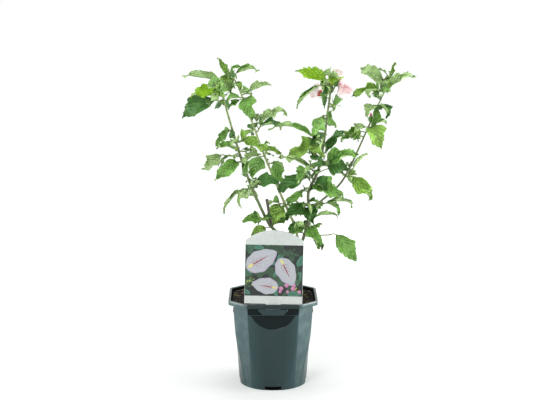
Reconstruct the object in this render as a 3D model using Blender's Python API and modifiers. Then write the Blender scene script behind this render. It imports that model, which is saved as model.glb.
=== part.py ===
"""Rose of sharon (Hibiscus syriacus) in its nursery pot, at its real size.

Metres, +Z up, +X to the right as the plant is seen, the viewer on the -Y side. The origin is the
middle of the pot's flat underside. The pot is square with cut corners at the lip and round at the
foot. It is filled with potting mix, and a picture label stands in the holder on its front.
A short leaning trunk forks just above the pot into canes. Leaves, buds and blooms stand on the
canes in sprays: each spray is one solid, a short stem with stalks and leaves fused to it.
"""

import math
import random

import bmesh
import bpy
import numpy as np
from mathutils import Matrix, Vector
from mathutils.bvhtree import BVHTree

MM = 0.001
SPACE = 0.3 * MM  # between neighbouring solids
MIX_SPACE = 0.5 * MM  # between the potting mix and the pot's wall

# Pot, in metres
POT_HEIGHT = 0.173
LIP_HALF = 0.085
LIP_HEIGHT = 0.009
TOP_HALF = 0.0764
FOOT_RADIUS = 0.065
WALL_RINGS = (0.03, 0.06, 0.09, 0.115)  # heights where the wall's section changes
FLAT_SHARE = 0.63  # width of a flat side as a share of the pot's width
SQUARE_FROM = WALL_RINGS[-1]  # above this height the section is fully eight-sided
WALL = 0.002
FLOOR = 0.003
RIM_WIDTH = 0.0095
LEDGE_Z = 0.1505
LEDGE = (0.094, 0.0026, 0.0014)  # width, depth through the wall's face, height
NOTCH = (0.032, 0.008, 0.007)  # width, depth, height
CRESCENT = (0.085, 0.028, 0.0009)  # chord, drop and depth of the dished panel under the ledge
MIX_TOP = 0.160

# Label, in metres
LABEL_WIDTH = 0.108
LABEL_SIDE = 0.120
LABEL_ARCH = 0.020
LABEL_THICK = 0.001
LABEL_Y = -0.0825
LABEL_LEAN = 1.2
TONGUE = (0.028, 0.013)
TAB = (0.056, 0.041, 0.012, 0.0076)  # top width, bottom width, height, thickness

# Limbs, in millimetres: way points from foot to tip, then radius at foot and tip
TRUNK = (((16, 4, 160.3), (22, 3, 190), (34, 1, 228), (49, 0, 262)), 7.0, 6.2)
FLARE = 0.75  # the trunk's foot is this much wider, fading over FLARE_REACH
FLARE_REACH = 9.0
LIMBS = {
    "left_outer": (
        ((49, 0, 262), (24, -6, 287), (-4, -14, 309), (-30, -28, 362), (-51, -44, 417),
         (-70, -62, 480), (-92, -84, 569), (-82, -92, 596)), 4.4, 1.5),
    "left_inner": (
        ((49, 0, 262), (47, 9, 285), (40, 18, 309), (17, 38, 358), (-17, 66, 436),
         (-41, 86, 499), (-65, 108, 558), (-79, 120, 587)), 3.8, 1.4),
    "right_inner": (
        ((49, 0, 262), (60, -4, 290), (69, -10, 334), (67, -18, 375), (85, -27, 419),
         (95, -38, 478), (101, -50, 533), (108, -62, 601)), 4.4, 1.6),
    "right_outer": (
        ((69, -10, 332), (91, 8, 353), (121, 24, 376), (142, 36, 402), (171, 56, 459),
         (201, 76, 523), (222, 90, 565), (229, 96, 583)), 3.0, 1.3),
    "cut_stub": (((-2, -13, 306), (-8, -17, 338), (-12, -20, 362)), 3.4, 3.0),
}
ARM = 0.11  # share of a main limb that belongs to the trunk, as an arm of the fork
BORN_ON = {"right_outer": "right_inner", "cut_stub": "left_outer"}

# Sprays, from the foot of each cane to its tip. A row gives the height on the cane in mm, the
# leading leaf's azimuth (0 right, 90 away, 180 left, 270 to the viewer) and pitch in degrees,
# the degrees its face leans from straight up to the viewer, the stalk and blade in mm, the
# shape, how many leaves the stem carries and the turn from one leaf to the next.
SPRAYS = {
    "left_outer": (
        (326, 190, -10, 70, 6, 36, "lobed", 3, 60),
        (385, 172, -42, 40, 8, 62, "long", 3, 95),
        (394, 350, -4, 45, 6, 46, "lobed", 2, 80),
        (439, 225, -28, 75, 8, 60, "lobed", 2, 60),
        (449, 180, -43, 75, 30, 44, "lobed", 3, 50),
        (458, 318, -60, 85, 12, 44, "lobed", 2, 80),
        (474, 345, -11, 65, 8, 54, "lobed", 3, 85),
        (499, 198, -52, 80, 6, 36, "lobed", 3, 95),
        (551, 165, -25, 60, 14, 74, "lobed", 3, 90),
        (569, 195, -6, 70, 6, 52, "lobed", 2, 80),
        (585, 168, 6, 60, 5, 70, "lobed", 3, 95),
        (600, 200, 66, 60, 5, 36, "young", 3, 115),
    ),
    "left_inner": (
        (346, 222, -60, 85, 9, 50, "lobed", 3, 100),
        (418, 330, -62, 80, 8, 42, "lobed", 2, 90),
        (434, 225, -62, 85, 9, 48, "lobed", 2, -90),
        (449, 5, -22, 60, 4, 36, "young", 3, 85),
        (480, 60, 76, 0, 16, 24, "bud", 3, 70),
        (492, 0, 26, 40, 12, 56, "long", 2, 90),
        (543, 300, -52, 85, 10, 48, "lobed", 2, -90),
        (550, 0, 18, 45, 12, 46, "lobed", 3, 90),
        (573, 205, -16, 65, 5, 50, "lobed", 2, -95),
        (600, 15, 6, 45, 8, 52, "lobed", 3, 110),
    ),
    "right_inner": (
        (291, 356, -50, 80, 54, 66, "lobed", 2, 38),
        (308, 300, -45, 80, 6, 48, "lobed", 2, -100),
        (323, 10, 2, 5, 8, 46, "long", 2, 90),
        (350, 200, -36, 65, 4, 48, "lobed", 3, 90),
        (376, 185, -40, 60, 6, 40, "young", 2, -80),
        (391, 320, -13, 60, 4, 62, "lobed", 2, 62),
        (400, 160, -33, 60, 12, 64, "lobed", 2, -80),
        (413, 165, 22, 50, 5, 78, "long", 2, 45),
        (430, 335, 23, 65, 17, 58, "lobed", 3, 85),
        (450, 20, 54, 75, 5, 56, "long", 2, 90),
        (465, 205, -15, 60, 8, 60, "lobed", 2, 75),
        (473, 170, 17, 30, 14, 92, "long", 2, -80),
        (523, 210, -60, 85, 7, 50, "lobed", 3, -95),
        (540, 340, 56, 0, 8, 42, "bloom", 1, 0),
        (555, 140, 22, 0, 7, 38, "bloom", 1, 0),
        (571, 30, 68, 0, 8, 36, "bloom", 2, 60),
        (578, 180, -44, 45, 15, 64, "long", 2, 85),
        (588, 195, 10, 60, 7, 58, "lobed", 3, 90),
    ),
    "right_outer": (
        (352, 20, -13, 10, 14, 54, "long", 3, 80),
        (400, 350, -50, 85, 10, 58, "lobed", 2, 80),
        (406, 25, 44, 10, 8, 48, "long", 2, 75),
        (472, 170, -27, 50, 12, 34, "young", 3, 85),
        (490, 296, -40, 80, 6, 54, "lobed", 2, -85),
        (530, 215, -66, 85, 8, 52, "lobed", 3, 95),
        (543, 170, 60, 0, 5, 20, "bud", 2, -80),
        (556, 200, -6, 55, 8, 58, "lobed", 2, -75),
        (564, 352, 32, 50, 4, 60, "long", 3, 85),
        (574, 160, 24, 60, 8, 54, "lobed", 2, -85),
        (600, 20, 72, 60, 3, 30, "young", 3, 120),
    ),
}

# Leaf outlines: share of the length, half width as a share of the length, forward sweep
OUTLINES = {
    "lobed": ((0, 0.05, 0), (0.16, 0.22, 0), (0.38, 0.36, 0.06), (0.54, 0.22, 0.02),
              (0.78, 0.13, 0), (1, 0.02, 0)),
    "long": ((0, 0.04, 0), (0.22, 0.16, 0), (0.45, 0.2, 0.02), (0.72, 0.13, 0), (1, 0.02, 0)),
    "young": ((0, 0.06, 0), (0.3, 0.24, 0), (0.6, 0.2, 0), (1, 0.03, 0)),
}
BEND = {"lobed": 42, "long": 44, "young": 30}  # degrees a blade bends down along its length
FOLD = 0.3  # how far a blade's halves rise from its midrib, by their width
WAVE = 0.06
THINNEST = 0.8 * MM
BLADE_RATIO = 1 / 75  # thickness of a blade by its length
STALK_RADIUS = 0.65 * MM
STEM_RADIUS = 1.1 * MM
LATER_STALK = 9 * MM
BESIDE = 2.0  # length of a leaf beside a bud or bloom, by the flower's
BESIDE_UP = Vector((0.1, 0.2, 1))  # a flower's own up, never along its heading
TRIES = (0, 16, -16, 34, -34)  # degrees that a crowded leaf may turn aside

# Blooms and buds: height and radius as shares of the length, up the outside, then inside
BLOOM = ((0, 0.03), (0.06, 0.12), (0.28, 0.15), (0.55, 0.2), (0.82, 0.3), (1, 0.4),
         (0.97, 0.36), (0.75, 0.2), (0.6, 0.06))
BUD = ((0, 0.04), (0.2, 0.17), (0.5, 0.2), (0.8, 0.11), (1, 0.02))

MATERIALS = {
    "pot_plastic": ((0.075, 0.1, 0.105), 0.42),
    "potting_mix": ((0.02, 0.014, 0.008), 0.95),
    "printed_card": ((0.6, 0.64, 0.6), 0.4),
    "old_bark": ((0.16, 0.13, 0.08), 0.8),
    "young_bark": ((0.12, 0.16, 0.05), 0.7),
    "leaf": ((0.07, 0.21, 0.03), 0.5),
    "leaf_and_petal": ((0.3, 0.3, 0.2), 0.5),
}


def clear_scene():
    for obj in list(bpy.data.objects):
        bpy.data.objects.remove(obj, do_unlink=True)


def new_collection(name):
    collection = bpy.data.collections.new(name)
    bpy.context.scene.collection.children.link(collection)
    return collection


def material(name):
    """One plain material a finish, from its base colour and roughness."""
    found = bpy.data.materials.get(name)
    if found:
        return found
    colour, roughness = MATERIALS[name]
    made = bpy.data.materials.new(name)
    made.use_nodes = True
    shader = made.node_tree.nodes["Principled BSDF"]
    shader.inputs["Base Color"].default_value = (*colour, 1)
    shader.inputs["Roughness"].default_value = roughness
    shader.inputs["Metallic"].default_value = 0.0
    return made


def add_object(name, mesh, collection, finish=None):
    obj = bpy.data.objects.new(name, mesh)
    collection.objects.link(obj)
    if finish:
        mesh.materials.clear()
        mesh.materials.append(material(finish))
    return obj


def to_mesh(bm, name):
    mesh = bpy.data.meshes.new(name)
    bm.to_mesh(mesh)
    bm.free()
    return mesh


def evaluated(obj):
    """The object's mesh with its modifiers applied and its doubles merged; the object is removed."""
    bpy.context.view_layer.update()
    source = obj.evaluated_get(bpy.context.evaluated_depsgraph_get())
    mesh = bpy.data.meshes.new_from_object(source)
    mesh.transform(obj.matrix_world)
    bpy.data.objects.remove(obj, do_unlink=True)
    bm = bmesh.new()
    bm.from_mesh(mesh)
    bmesh.ops.remove_doubles(bm, verts=bm.verts, dist=0.00001)
    bmesh.ops.recalc_face_normals(bm, faces=bm.faces)
    bm.to_mesh(mesh)
    bm.free()
    return mesh


def boolean(obj, operation, other, solver="EXACT"):
    """Cuts or joins with one object or a whole collection."""
    modifier = obj.modifiers.new("boolean", "BOOLEAN")
    modifier.operation = operation
    modifier.solver = solver
    if isinstance(other, bpy.types.Collection):
        modifier.operand_type = "COLLECTION"
        modifier.collection = other
    else:
        modifier.object = other


def as_cutter(obj):
    obj.hide_render = True
    obj.display_type = "WIRE"
    return obj


# Pot, potting mix and label


def octagon(angle):
    """Radius of an eight-sided section of half width 1, at an angle from the middle of a side."""
    turned = abs((angle + math.pi / 4) % (math.pi / 2) - math.pi / 4)
    return min(1 / math.cos(turned), (1 + FLAT_SHARE) / (math.cos(turned) + math.sin(turned)))


def section_angles():
    """Angles round a section, with one at each corner of the eight sides."""
    corner = math.atan(FLAT_SHARE)
    side = np.linspace(-corner, corner, 5)[:-1]
    cut = np.linspace(corner, math.pi / 2 - corner, 4)[:-1]
    quarter = np.concatenate((side, cut))
    return np.concatenate([quarter + k * math.pi / 2 for k in range(4)])


def section(z, half, square=1.0):
    """A ring at height z, from a circle (square 0) to the eight-sided form (square 1)."""
    ring = []
    for angle in section_angles():
        radius = half * (1 + square * (octagon(angle) - 1))
        ring.append((radius * math.cos(angle), radius * math.sin(angle), z))
    return ring


def squareness(z):
    share = min(1.0, z / SQUARE_FROM)
    return share * share * (3 - 2 * share)


def wall_half(z):
    """The wall's outer half width, tapering from under the lip to the foot."""
    return FOOT_RADIUS + (TOP_HALF - FOOT_RADIUS) * z / (POT_HEIGHT - LIP_HEIGHT)


def loft(rings, name):
    """Skins a stack of like rings and closes both ends.

    Every quad is split the same way, so that a solid lofted inside another keeps its distance.
    """
    bm = bmesh.new()
    loops = [[bm.verts.new(co) for co in ring] for ring in rings]
    count = len(loops[0])
    for low, high in zip(loops, loops[1:]):
        for i in range(count):
            after = (i + 1) % count
            bm.faces.new((low[i], low[after], high[after]))
            bm.faces.new((low[i], high[after], high[i]))
    bm.faces.new(list(reversed(loops[0])))
    bm.faces.new(loops[-1])
    bmesh.ops.recalc_face_normals(bm, faces=bm.faces)
    return to_mesh(bm, name)


def box(name, size, centre, collection):
    bpy.ops.mesh.primitive_cube_add(size=1, location=centre)
    obj = bpy.context.object
    obj.name = name
    obj.data.transform(Matrix.Diagonal((*size, 1)))
    for holder in list(obj.users_collection):
        holder.objects.unlink(obj)
    collection.objects.link(obj)
    return obj


def pot_mesh():
    """Outer wall, lip and inner wall in one run of rings."""
    under_lip = POT_HEIGHT - LIP_HEIGHT
    bevel = 0.001
    rings = [section(z, wall_half(z), squareness(z)) for z in (0, *WALL_RINGS)]
    rings.append(section(under_lip - 0.003, wall_half(under_lip - 0.003)))
    rings.append(section(under_lip, LIP_HALF - 0.0015))
    rings.append(section(under_lip + 0.001, LIP_HALF))
    rings.append(section(POT_HEIGHT - bevel, LIP_HALF))
    rings.append(section(POT_HEIGHT, LIP_HALF - bevel))
    rings.append(section(POT_HEIGHT, LIP_HALF - RIM_WIDTH + bevel))
    rings.append(section(POT_HEIGHT - bevel, LIP_HALF - RIM_WIDTH))
    rings.append(section(under_lip - 0.004, wall_half(under_lip) - WALL))
    for z in (*reversed(WALL_RINGS), FLOOR):
        rings.append(section(z, wall_half(z) - WALL, squareness(z)))
    return loft(rings, "pot")


def turned_about_z(obj, quarter):
    obj.data.transform(obj.matrix_basis)
    obj.matrix_basis = Matrix.Rotation(quarter * math.pi / 2, 4, "Z")


def crescent_cutter(collection, quarter):
    """A dished panel: the part of a disc below the ledge, sunk into the sloping side."""
    chord, drop, sunk = CRESCENT
    radius = (chord * chord / 4 + drop * drop) / (2 * drop)
    slope = math.atan((TOP_HALF - FOOT_RADIUS) / (POT_HEIGHT - LIP_HEIGHT))
    thick = 0.01
    bpy.ops.mesh.primitive_cylinder_add(vertices=32, radius=radius, depth=thick)
    obj = bpy.context.object
    bm = bmesh.new()
    bm.from_mesh(obj.data)
    geometry = bm.verts[:] + bm.edges[:] + bm.faces[:]
    cut_y = drop - radius
    bmesh.ops.bisect_plane(bm, geom=geometry, plane_co=(0, cut_y, 0), plane_no=(0, 1, 0),
                           clear_outer=True)
    bmesh.ops.holes_fill(bm, edges=bm.edges)
    bmesh.ops.translate(bm, verts=bm.verts, vec=(0, -cut_y, thick / 2 - sunk))
    bmesh.ops.recalc_face_normals(bm, faces=bm.faces)
    bm.to_mesh(obj.data)
    bm.free()
    obj.matrix_basis = (Matrix.Translation((0, -wall_half(LEDGE_Z), LEDGE_Z - LEDGE[2] / 2))
                        @ Matrix.Rotation(math.pi / 2 + slope, 4, "X"))
    for holder in list(obj.users_collection):
        holder.objects.unlink(obj)
    collection.objects.link(obj)
    turned_about_z(obj, quarter)
    return as_cutter(obj)


def notch_cutter(collection, quarter):
    width, depth, height = NOTCH
    obj = box("notch", (width, depth, height * 2), (0, -FOOT_RADIUS, 0), collection)
    turned_about_z(obj, quarter)
    return as_cutter(obj)


def ledge_rib(collection, quarter):
    obj = box("ledge", LEDGE, (0, -wall_half(LEDGE_Z), LEDGE_Z), collection)
    turned_about_z(obj, quarter)
    return obj


def holder_tab(collection):
    """The tapered tab that keeps the label's tongue against the front."""
    top, bottom, height, thick = TAB
    z = POT_HEIGHT - LIP_HEIGHT + 0.0005
    y = -wall_half(z)
    rooted = WALL / 2
    overlap = 0.001
    size = (top, thick + rooted, height + overlap)
    centre = (0, y + (rooted - thick) / 2, z + (overlap - height) / 2)
    obj = box("tab", size, centre, collection)
    share = bottom / top
    for vertex in obj.data.vertices:
        if vertex.co.z < 0:
            vertex.co.x *= share
    return obj


def slot_cutter(collection):
    width, depth = TONGUE
    play = 0.0004
    size = (width + 0.003, LABEL_THICK + 2 * play, depth + 0.002)
    obj = box("slot", size, (0, LABEL_Y, POT_HEIGHT - size[2] / 2 + 0.0005), collection)
    return as_cutter(obj)


def make_pot(parts, cutters):
    fused = new_collection("pot_fused")
    base = add_object("pot", pot_mesh(), parts, "pot_plastic")
    for quarter in range(4):
        ledge_rib(fused, quarter)
        crescent_cutter(cutters, quarter)
        notch_cutter(cutters, quarter)
    holder_tab(fused)
    slot_cutter(cutters)
    boolean(base, "UNION", fused)
    boolean(base, "DIFFERENCE", cutters)
    add_object("pot", evaluated(base), parts, "pot_plastic")
    clear_collection(fused)
    clear_collection(cutters)


def make_mix(parts):
    """The filled inside, a low mound with a flat middle for the trunk.

    Its rings run downward, as those of the pot's inside do, so that their faces match.
    """
    inset = WALL + MIX_SPACE
    edge = wall_half(MIX_TOP) - inset
    rings = [section(MIX_TOP, edge * 0.5), section(MIX_TOP - 0.002, edge * 0.8)]
    for z in (MIX_TOP - 0.005, *reversed(WALL_RINGS), FLOOR + SPACE):
        rings.append(section(z, wall_half(z) - inset, squareness(z)))
    add_object("potting_mix", loft(rings, "potting_mix"), parts, "potting_mix")


def make_label(parts):
    """A flat card with an arched top, and a tongue that stands in the slot of the lip."""
    half = LABEL_WIDTH / 2
    radius = (half * half + LABEL_ARCH * LABEL_ARCH) / (2 * LABEL_ARCH)
    reach = math.asin(half / radius)
    outline = [(-half, 0), (-TONGUE[0] / 2, 0), (-TONGUE[0] / 2 + 0.001, -TONGUE[1]),
               (TONGUE[0] / 2 - 0.001, -TONGUE[1]), (TONGUE[0] / 2, 0), (half, 0)]
    for k in range(15):
        angle = reach * (1 - k / 7)
        outline.append((radius * math.sin(angle), LABEL_SIDE + radius * math.cos(angle)
                        - radius + LABEL_ARCH))
    curve = bpy.data.curves.new("plant_label", "CURVE")
    curve.dimensions = "2D"
    curve.fill_mode = "BOTH"
    curve.extrude = LABEL_THICK / 2
    spline = curve.splines.new("POLY")
    spline.points.add(len(outline) - 1)
    spline.points.foreach_set("co", [c for x, y in outline for c in (x, y, 0, 1)])
    spline.use_cyclic_u = True
    flat = add_object("label_outline", curve, parts)
    lift = half * math.sin(math.radians(LABEL_LEAN)) + SPACE
    flat.matrix_world = (Matrix.Translation((0, LABEL_Y, POT_HEIGHT + lift))
                         @ Matrix.Rotation(math.radians(LABEL_LEAN), 4, "Y")
                         @ Matrix.Rotation(math.pi / 2, 4, "X"))
    add_object("plant_label", evaluated(flat), parts, "printed_card")


# Trunk and canes


def smooth_path(points, steps):
    """Catmull-Rom curve through the points, with equal steps between each two."""
    pts = np.array(points, float)
    ends = np.vstack((2 * pts[0] - pts[1], pts, 2 * pts[-1] - pts[-2]))
    t = np.linspace(0, 1, steps, endpoint=False)[:, None]
    runs = []
    for a, b, c, d in zip(ends, ends[1:], ends[2:], ends[3:]):
        runs.append(0.5 * (2 * b + (c - a) * t + (2 * a - 5 * b + 4 * c - d) * t ** 2
                           + (3 * b - a - 3 * c + d) * t ** 3))
    return np.vstack(runs + [pts[-1:]])


def path_lengths(path):
    return np.concatenate(([0], np.cumsum(np.linalg.norm(np.diff(path, axis=0), axis=1))))


def profile_curve(sides):
    """A closed ring of radius 1 that tubes are swept with."""
    name = f"profile_{sides}"
    found = bpy.data.objects.get(name)
    if found:
        return found
    curve = bpy.data.curves.new(name, "CURVE")
    spline = curve.splines.new("POLY")
    spline.points.add(sides - 1)
    for k in range(sides):
        angle = 2 * math.pi * k / sides
        spline.points[k].co = (math.cos(angle), math.sin(angle), 0, 1)
    spline.use_cyclic_u = True
    return as_cutter(add_object(name, curve, bpy.context.scene.collection))


def tube(path, radii, sides):
    """A capped tube along the path, as a closed mesh."""
    curve = bpy.data.curves.new("tube", "CURVE")
    curve.dimensions = "3D"
    curve.bevel_mode = "OBJECT"
    curve.bevel_object = profile_curve(sides)
    curve.use_fill_caps = True
    spline = curve.splines.new("POLY")
    spline.points.add(len(path) - 1)
    for point, co, radius in zip(spline.points, path, radii):
        point.co = (*co, 1)
        point.radius = radius
    return evaluated(add_object("tube", curve, bpy.context.scene.collection))


class Limb:
    """A tapering limb: its path in metres, its radius along it and its tip."""

    def __init__(self, way, foot, tip, steps=3):
        self.path = smooth_path(way, steps) * MM
        share = path_lengths(self.path)
        share /= share[-1]
        self.radii = (foot + (tip - foot) * share) * MM

    def split(self, share):
        """The path and radii before and after a share of the length, with the usual space."""
        lengths = path_lengths(self.path)
        at = np.searchsorted(lengths, share * lengths[-1])
        along = self.path[at] - self.path[at - 1]
        along /= np.linalg.norm(along)
        later = self.path[at:].copy()
        later[0] = later[0] + along * SPACE
        return (self.path[:at + 1], self.radii[:at + 1]), (later, self.radii[at:])

    def at_height(self, height):
        """Centre, direction and radius at a height, or at the tip when it lies no higher."""
        z = self.path[:, 2]
        if height >= z[-1]:
            along = Vector(self.path[-1] - self.path[-2]).normalized()
            return Vector(self.path[-1]), along, self.radii[-1], True
        after = int(np.argmax(z > height))
        share = (height - z[after - 1]) / (z[after] - z[after - 1])
        centre = self.path[after - 1] * (1 - share) + self.path[after] * share
        along = Vector(self.path[after] - self.path[after - 1]).normalized()
        return Vector(centre), along, float(np.interp(height, z, self.radii)), False


def make_limbs(parts):
    """The trunk with the arms of its fork, the canes and the cut stub."""
    limbs = {name: Limb(*row) for name, row in LIMBS.items()}
    trunk = Limb(*TRUNK, steps=4)
    rise = path_lengths(trunk.path)
    trunk.radii = trunk.radii * (1 + FLARE * np.exp(-rise / (FLARE_REACH * MM)))
    # The foot is cut flat and level at the top of the mix.
    body = tube(trunk.path, trunk.radii, 8)
    for vertex in body.vertices:
        if vertex.co.z < MIX_TOP + 0.003:
            vertex.co.z = MIX_TOP + SPACE
    base = add_object("trunk", body, parts, "old_bark")
    arms = new_collection("arms")
    solids = {}
    for name, limb in limbs.items():
        if name in BORN_ON:
            solids[name] = tube(limb.path, limb.radii, 6)
            continue
        before, after = limb.split(ARM)
        add_object("arm", tube(*before, 6), arms)
        solids[name] = tube(*after, 6)
    boolean(base, "UNION", arms)
    add_object("trunk", evaluated(base), parts, "old_bark")
    clear_collection(arms)
    for name, solid in solids.items():
        finish = "old_bark" if name == "cut_stub" else "young_bark"
        obj = add_object(limb_name(name), solid, parts, finish)
        if name in BORN_ON:
            carrier = limbs[BORN_ON[name]]
            # Eight sides drawn outside the carrier's round, so that the gap is never less.
            cutter = tube(carrier.path, (carrier.radii + SPACE) / math.cos(math.pi / 8), 8)
            saddle = as_cutter(add_object("saddle", cutter, parts))
            boolean(obj, "DIFFERENCE", saddle)
            fitted = evaluated(obj)
            bpy.data.objects.remove(saddle, do_unlink=True)
            add_object(limb_name(name), largest_piece(fitted), parts, finish)
    return limbs


def limb_name(name):
    return name if name == "cut_stub" else f"cane_{name}"


def clear_collection(collection):
    for obj in list(collection.objects):
        bpy.data.objects.remove(obj, do_unlink=True)
    bpy.data.collections.remove(collection)


def largest_piece(mesh):
    """Drops loose scraps and sealed hollows: only the piece with the most faces stays."""
    bm = bmesh.new()
    bm.from_mesh(mesh)
    left = set(bm.faces)
    pieces = []
    while left:
        piece = {left.pop()}
        edge = list(piece)
        while edge:
            face = edge.pop()
            near = {f for e in face.edges for f in e.link_faces} & left
            left -= near
            piece |= near
            edge.extend(near)
        pieces.append(piece)
    pieces.sort(key=len)
    loose = [face for piece in pieces[:-1] for face in piece]
    bmesh.ops.delete(bm, geom=loose, context="FACES")
    bm.to_mesh(mesh)
    bm.free()
    return mesh


# Sprays


def heading(azimuth, pitch):
    a, p = math.radians(azimuth), math.radians(pitch)
    return Vector((math.cos(p) * math.cos(a), math.cos(p) * math.sin(a), math.sin(p)))


def frame_at(origin, ahead, face):
    """A frame whose X runs ahead and whose Z is as near as it can be to the face's direction."""
    up = (face - ahead * face.dot(ahead)).normalized()
    side = up.cross(ahead)
    turn = Matrix((ahead, side, up)).transposed().to_4x4()
    return Matrix.Translation(origin) @ turn


def blade_mesh(shape, length, wave, root, extra=0.0):
    """A leaf along +X with the stalk that leads to it from the root, as one sheet of even thickness.

    The blade is folded up along its midrib, waved at its edge and bent down on an arc.
    """
    rows = OUTLINES[shape]
    bm = bmesh.new()
    bmesh.ops.create_grid(bm, x_segments=len(rows), y_segments=2, size=0.5)
    bend = math.radians(BEND[shape])
    radius = length / (2 * math.sin(bend / 2))
    for vertex in bm.verts:
        row = round((vertex.co.x + 0.5) * len(rows)) - 1
        side = round(vertex.co.y * 2)
        if row < 0:
            vertex.co = root + Vector((0, side * STALK_RADIUS, 0))
            continue
        share, half, sweep = rows[row]
        along = share + sweep * abs(side)
        angle = bend * (along - 0.5)
        lift = half * abs(side) * FOLD + side * wave * WAVE * math.sin(9 * share + 3 * wave)
        out = radius + lift * length
        vertex.co = (radius * math.sin(bend / 2) + out * math.sin(angle),
                     side * half * length,
                     out * math.cos(angle) - radius * math.cos(bend / 2))
    obj = add_object("blade", to_mesh(bm, "blade"), bpy.context.scene.collection)
    solidify = obj.modifiers.new("thickness", "SOLIDIFY")
    solidify.thickness = max(length * BLADE_RATIO, THINNEST) + extra
    solidify.offset = 0
    return evaluated(obj)


def turned_mesh(profile, length, steps):
    """A bud or bloom turned about +X from shares of its length."""
    bm = bmesh.new()
    points = [(r * length, 0, z * length) for z, r in profile]
    verts = [bm.verts.new(co) for co in points]
    first = bm.verts.new((0, 0, points[0][2]))
    last = bm.verts.new((0, 0, points[-1][2]))
    chain = [first, *verts, last]
    for a, b in zip(chain, chain[1:]):
        bm.edges.new((a, b))
    obj = add_object("turned", to_mesh(bm, "turned"), bpy.context.scene.collection)
    screw = obj.modifiers.new("turn", "SCREW")
    screw.steps = steps
    screw.render_steps = steps
    screw.use_merge_vertices = True
    screw.merge_threshold = 0.00001
    mesh = evaluated(obj)
    mesh.transform(Matrix.Rotation(math.pi / 2, 4, "Y"))
    return mesh


def tree_of(mesh):
    return BVHTree.FromPolygons([v.co.copy() for v in mesh.vertices],
                                [tuple(p.vertices) for p in mesh.polygons])


def touches(mesh, trees):
    own = tree_of(mesh)
    return any(own.overlap(tree) for tree in trees)


def stalk_points(start, first, ahead, length):
    """Leaves its bearer at a right angle, then turns to the heading."""
    elbow = start + first * min(length * 0.3, 3 * MM)
    return [start, elbow, elbow + ahead * length * 0.75]


def within(mesh, centre, reach):
    """True when every corner keeps to the spray's own ball and above the pot."""
    return all((v.co - centre).length < reach and v.co.z > POT_HEIGHT + 0.01
               for v in mesh.vertices)


def flower(kind, size, foot, forward, root):
    """A bud or bloom on its own stalk, the two meshes to be fused."""
    profile, steps = (BUD, 6) if kind == "bud" else (BLOOM, 10)
    head = turned_mesh(profile, size, steps)
    head.transform(frame_at(foot, forward, BESIDE_UP))
    sunk = foot + forward * size * 0.12
    stalk = tube([root - (foot - root) * 0.05, foot, sunk], [STALK_RADIUS] * 3, 3)
    return head, [stalk, head]


def leaf(kind, size, foot, forward, face, root, wave):
    """A leaf on its stalk, and a thicker copy that tests whether there is room for it."""
    place = frame_at(foot, forward, face)
    local = place.inverted() @ root
    grown = blade_mesh(kind, size, wave, local)
    tested = blade_mesh(kind, size, wave, local.lerp(Vector(), 0.8), extra=2 * SPACE)
    grown.transform(place)
    tested.transform(place)
    return tested, [grown]


def grow_spray(row, limb, rng, trees):
    """The stem's mesh and those of its leaves or flowers, in the order that they grow.

    The first leads on from the stem's end. The others stand along the stem, turned to either
    side by the row's angle, and one that would leave the spray's space or touch is left out.
    """
    height, azimuth, pitch, facing, stalk, blade, shape, leaves, turn = row
    stalk, blade = stalk * MM, blade * MM
    centre, along, radius, at_tip = limb.at_height(height * MM)
    rise = 0.35 * pitch + 20  # stalks stand higher than their blades hang
    ahead = heading(azimuth, rise)
    out = along if at_tip else (ahead - along * ahead.dot(along)).normalized()
    start = centre + out * (SPACE if at_tip else radius + SPACE)
    path = stalk_points(start, out, ahead, stalk)
    stem = tube(path, (STEM_RADIUS, STEM_RADIUS, STALK_RADIUS), 3)
    flowering = shape in ("bud", "bloom")
    later = blade * BESIDE if flowering else blade
    dip = 0 if flowering else 0.4 * pitch
    reach = stalk + max(blade, later) * 1.15 + 0.012
    lean = math.radians(facing)
    pieces = []
    taken = []
    for k in range(leaves):
        lead = k == 0
        size = blade if lead else later * rng.uniform(0.62, 0.88)
        tilt = pitch if lead else dip + rng.uniform(-28, 12)
        wave = rng.uniform(-1, 1)
        aside = 0 if lead else turn * ((k + 1) // 2) * (1 if k % 2 else -1) + rng.uniform(-12, 12)
        roll = rng.uniform(-0.9, 0.9)
        root = path[-1] if lead else path[1].lerp(path[2], rng.uniform(0.1, 0.6))
        kind = shape if lead or not flowering else "lobed"
        for swing in TRIES:
            bearing = azimuth + aside + swing
            forward = heading(bearing, tilt)
            foot = root + heading(bearing, rise) * (stalk * 0.25 if lead else LATER_STALK)
            if kind in ("bud", "bloom"):
                tested, grown = flower(kind, size, foot, forward, root)
            else:
                face = Vector((0, -math.sin(lean), math.cos(lean)))
                if not lead:
                    face = Vector((0, 0, 1)) + heading(bearing, 0) * 0.5
                    face += heading(bearing + 90, 0) * roll
                tested, grown = leaf(kind, size, foot, forward, face, root, wave)
            if within(tested, start, reach) and not touches(tested, trees + taken):
                pieces += grown
                taken.append(tree_of(tested))
                break
    return stem, pieces


def make_sprays(parts, limbs):
    trees = [tree_of(obj.data) for obj in parts.objects]
    for cane, rows in SPRAYS.items():
        for number, row in enumerate(rows, 1):
            rng = random.Random(f"{cane} {number}")
            stem, pieces = grow_spray(row, limbs[cane], rng, trees)
            group = new_collection("pieces")
            for piece in pieces:
                add_object("piece", piece, group)
            finish = "leaf_and_petal" if row[6] == "bloom" else "leaf"
            spray = add_object("spray", stem, parts)
            boolean(spray, "UNION", group)
            mesh = largest_piece(evaluated(spray))
            clear_collection(group)
            add_object(f"foliage_{cane}_{number}", mesh, parts, finish)
            trees.append(tree_of(mesh))


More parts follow.
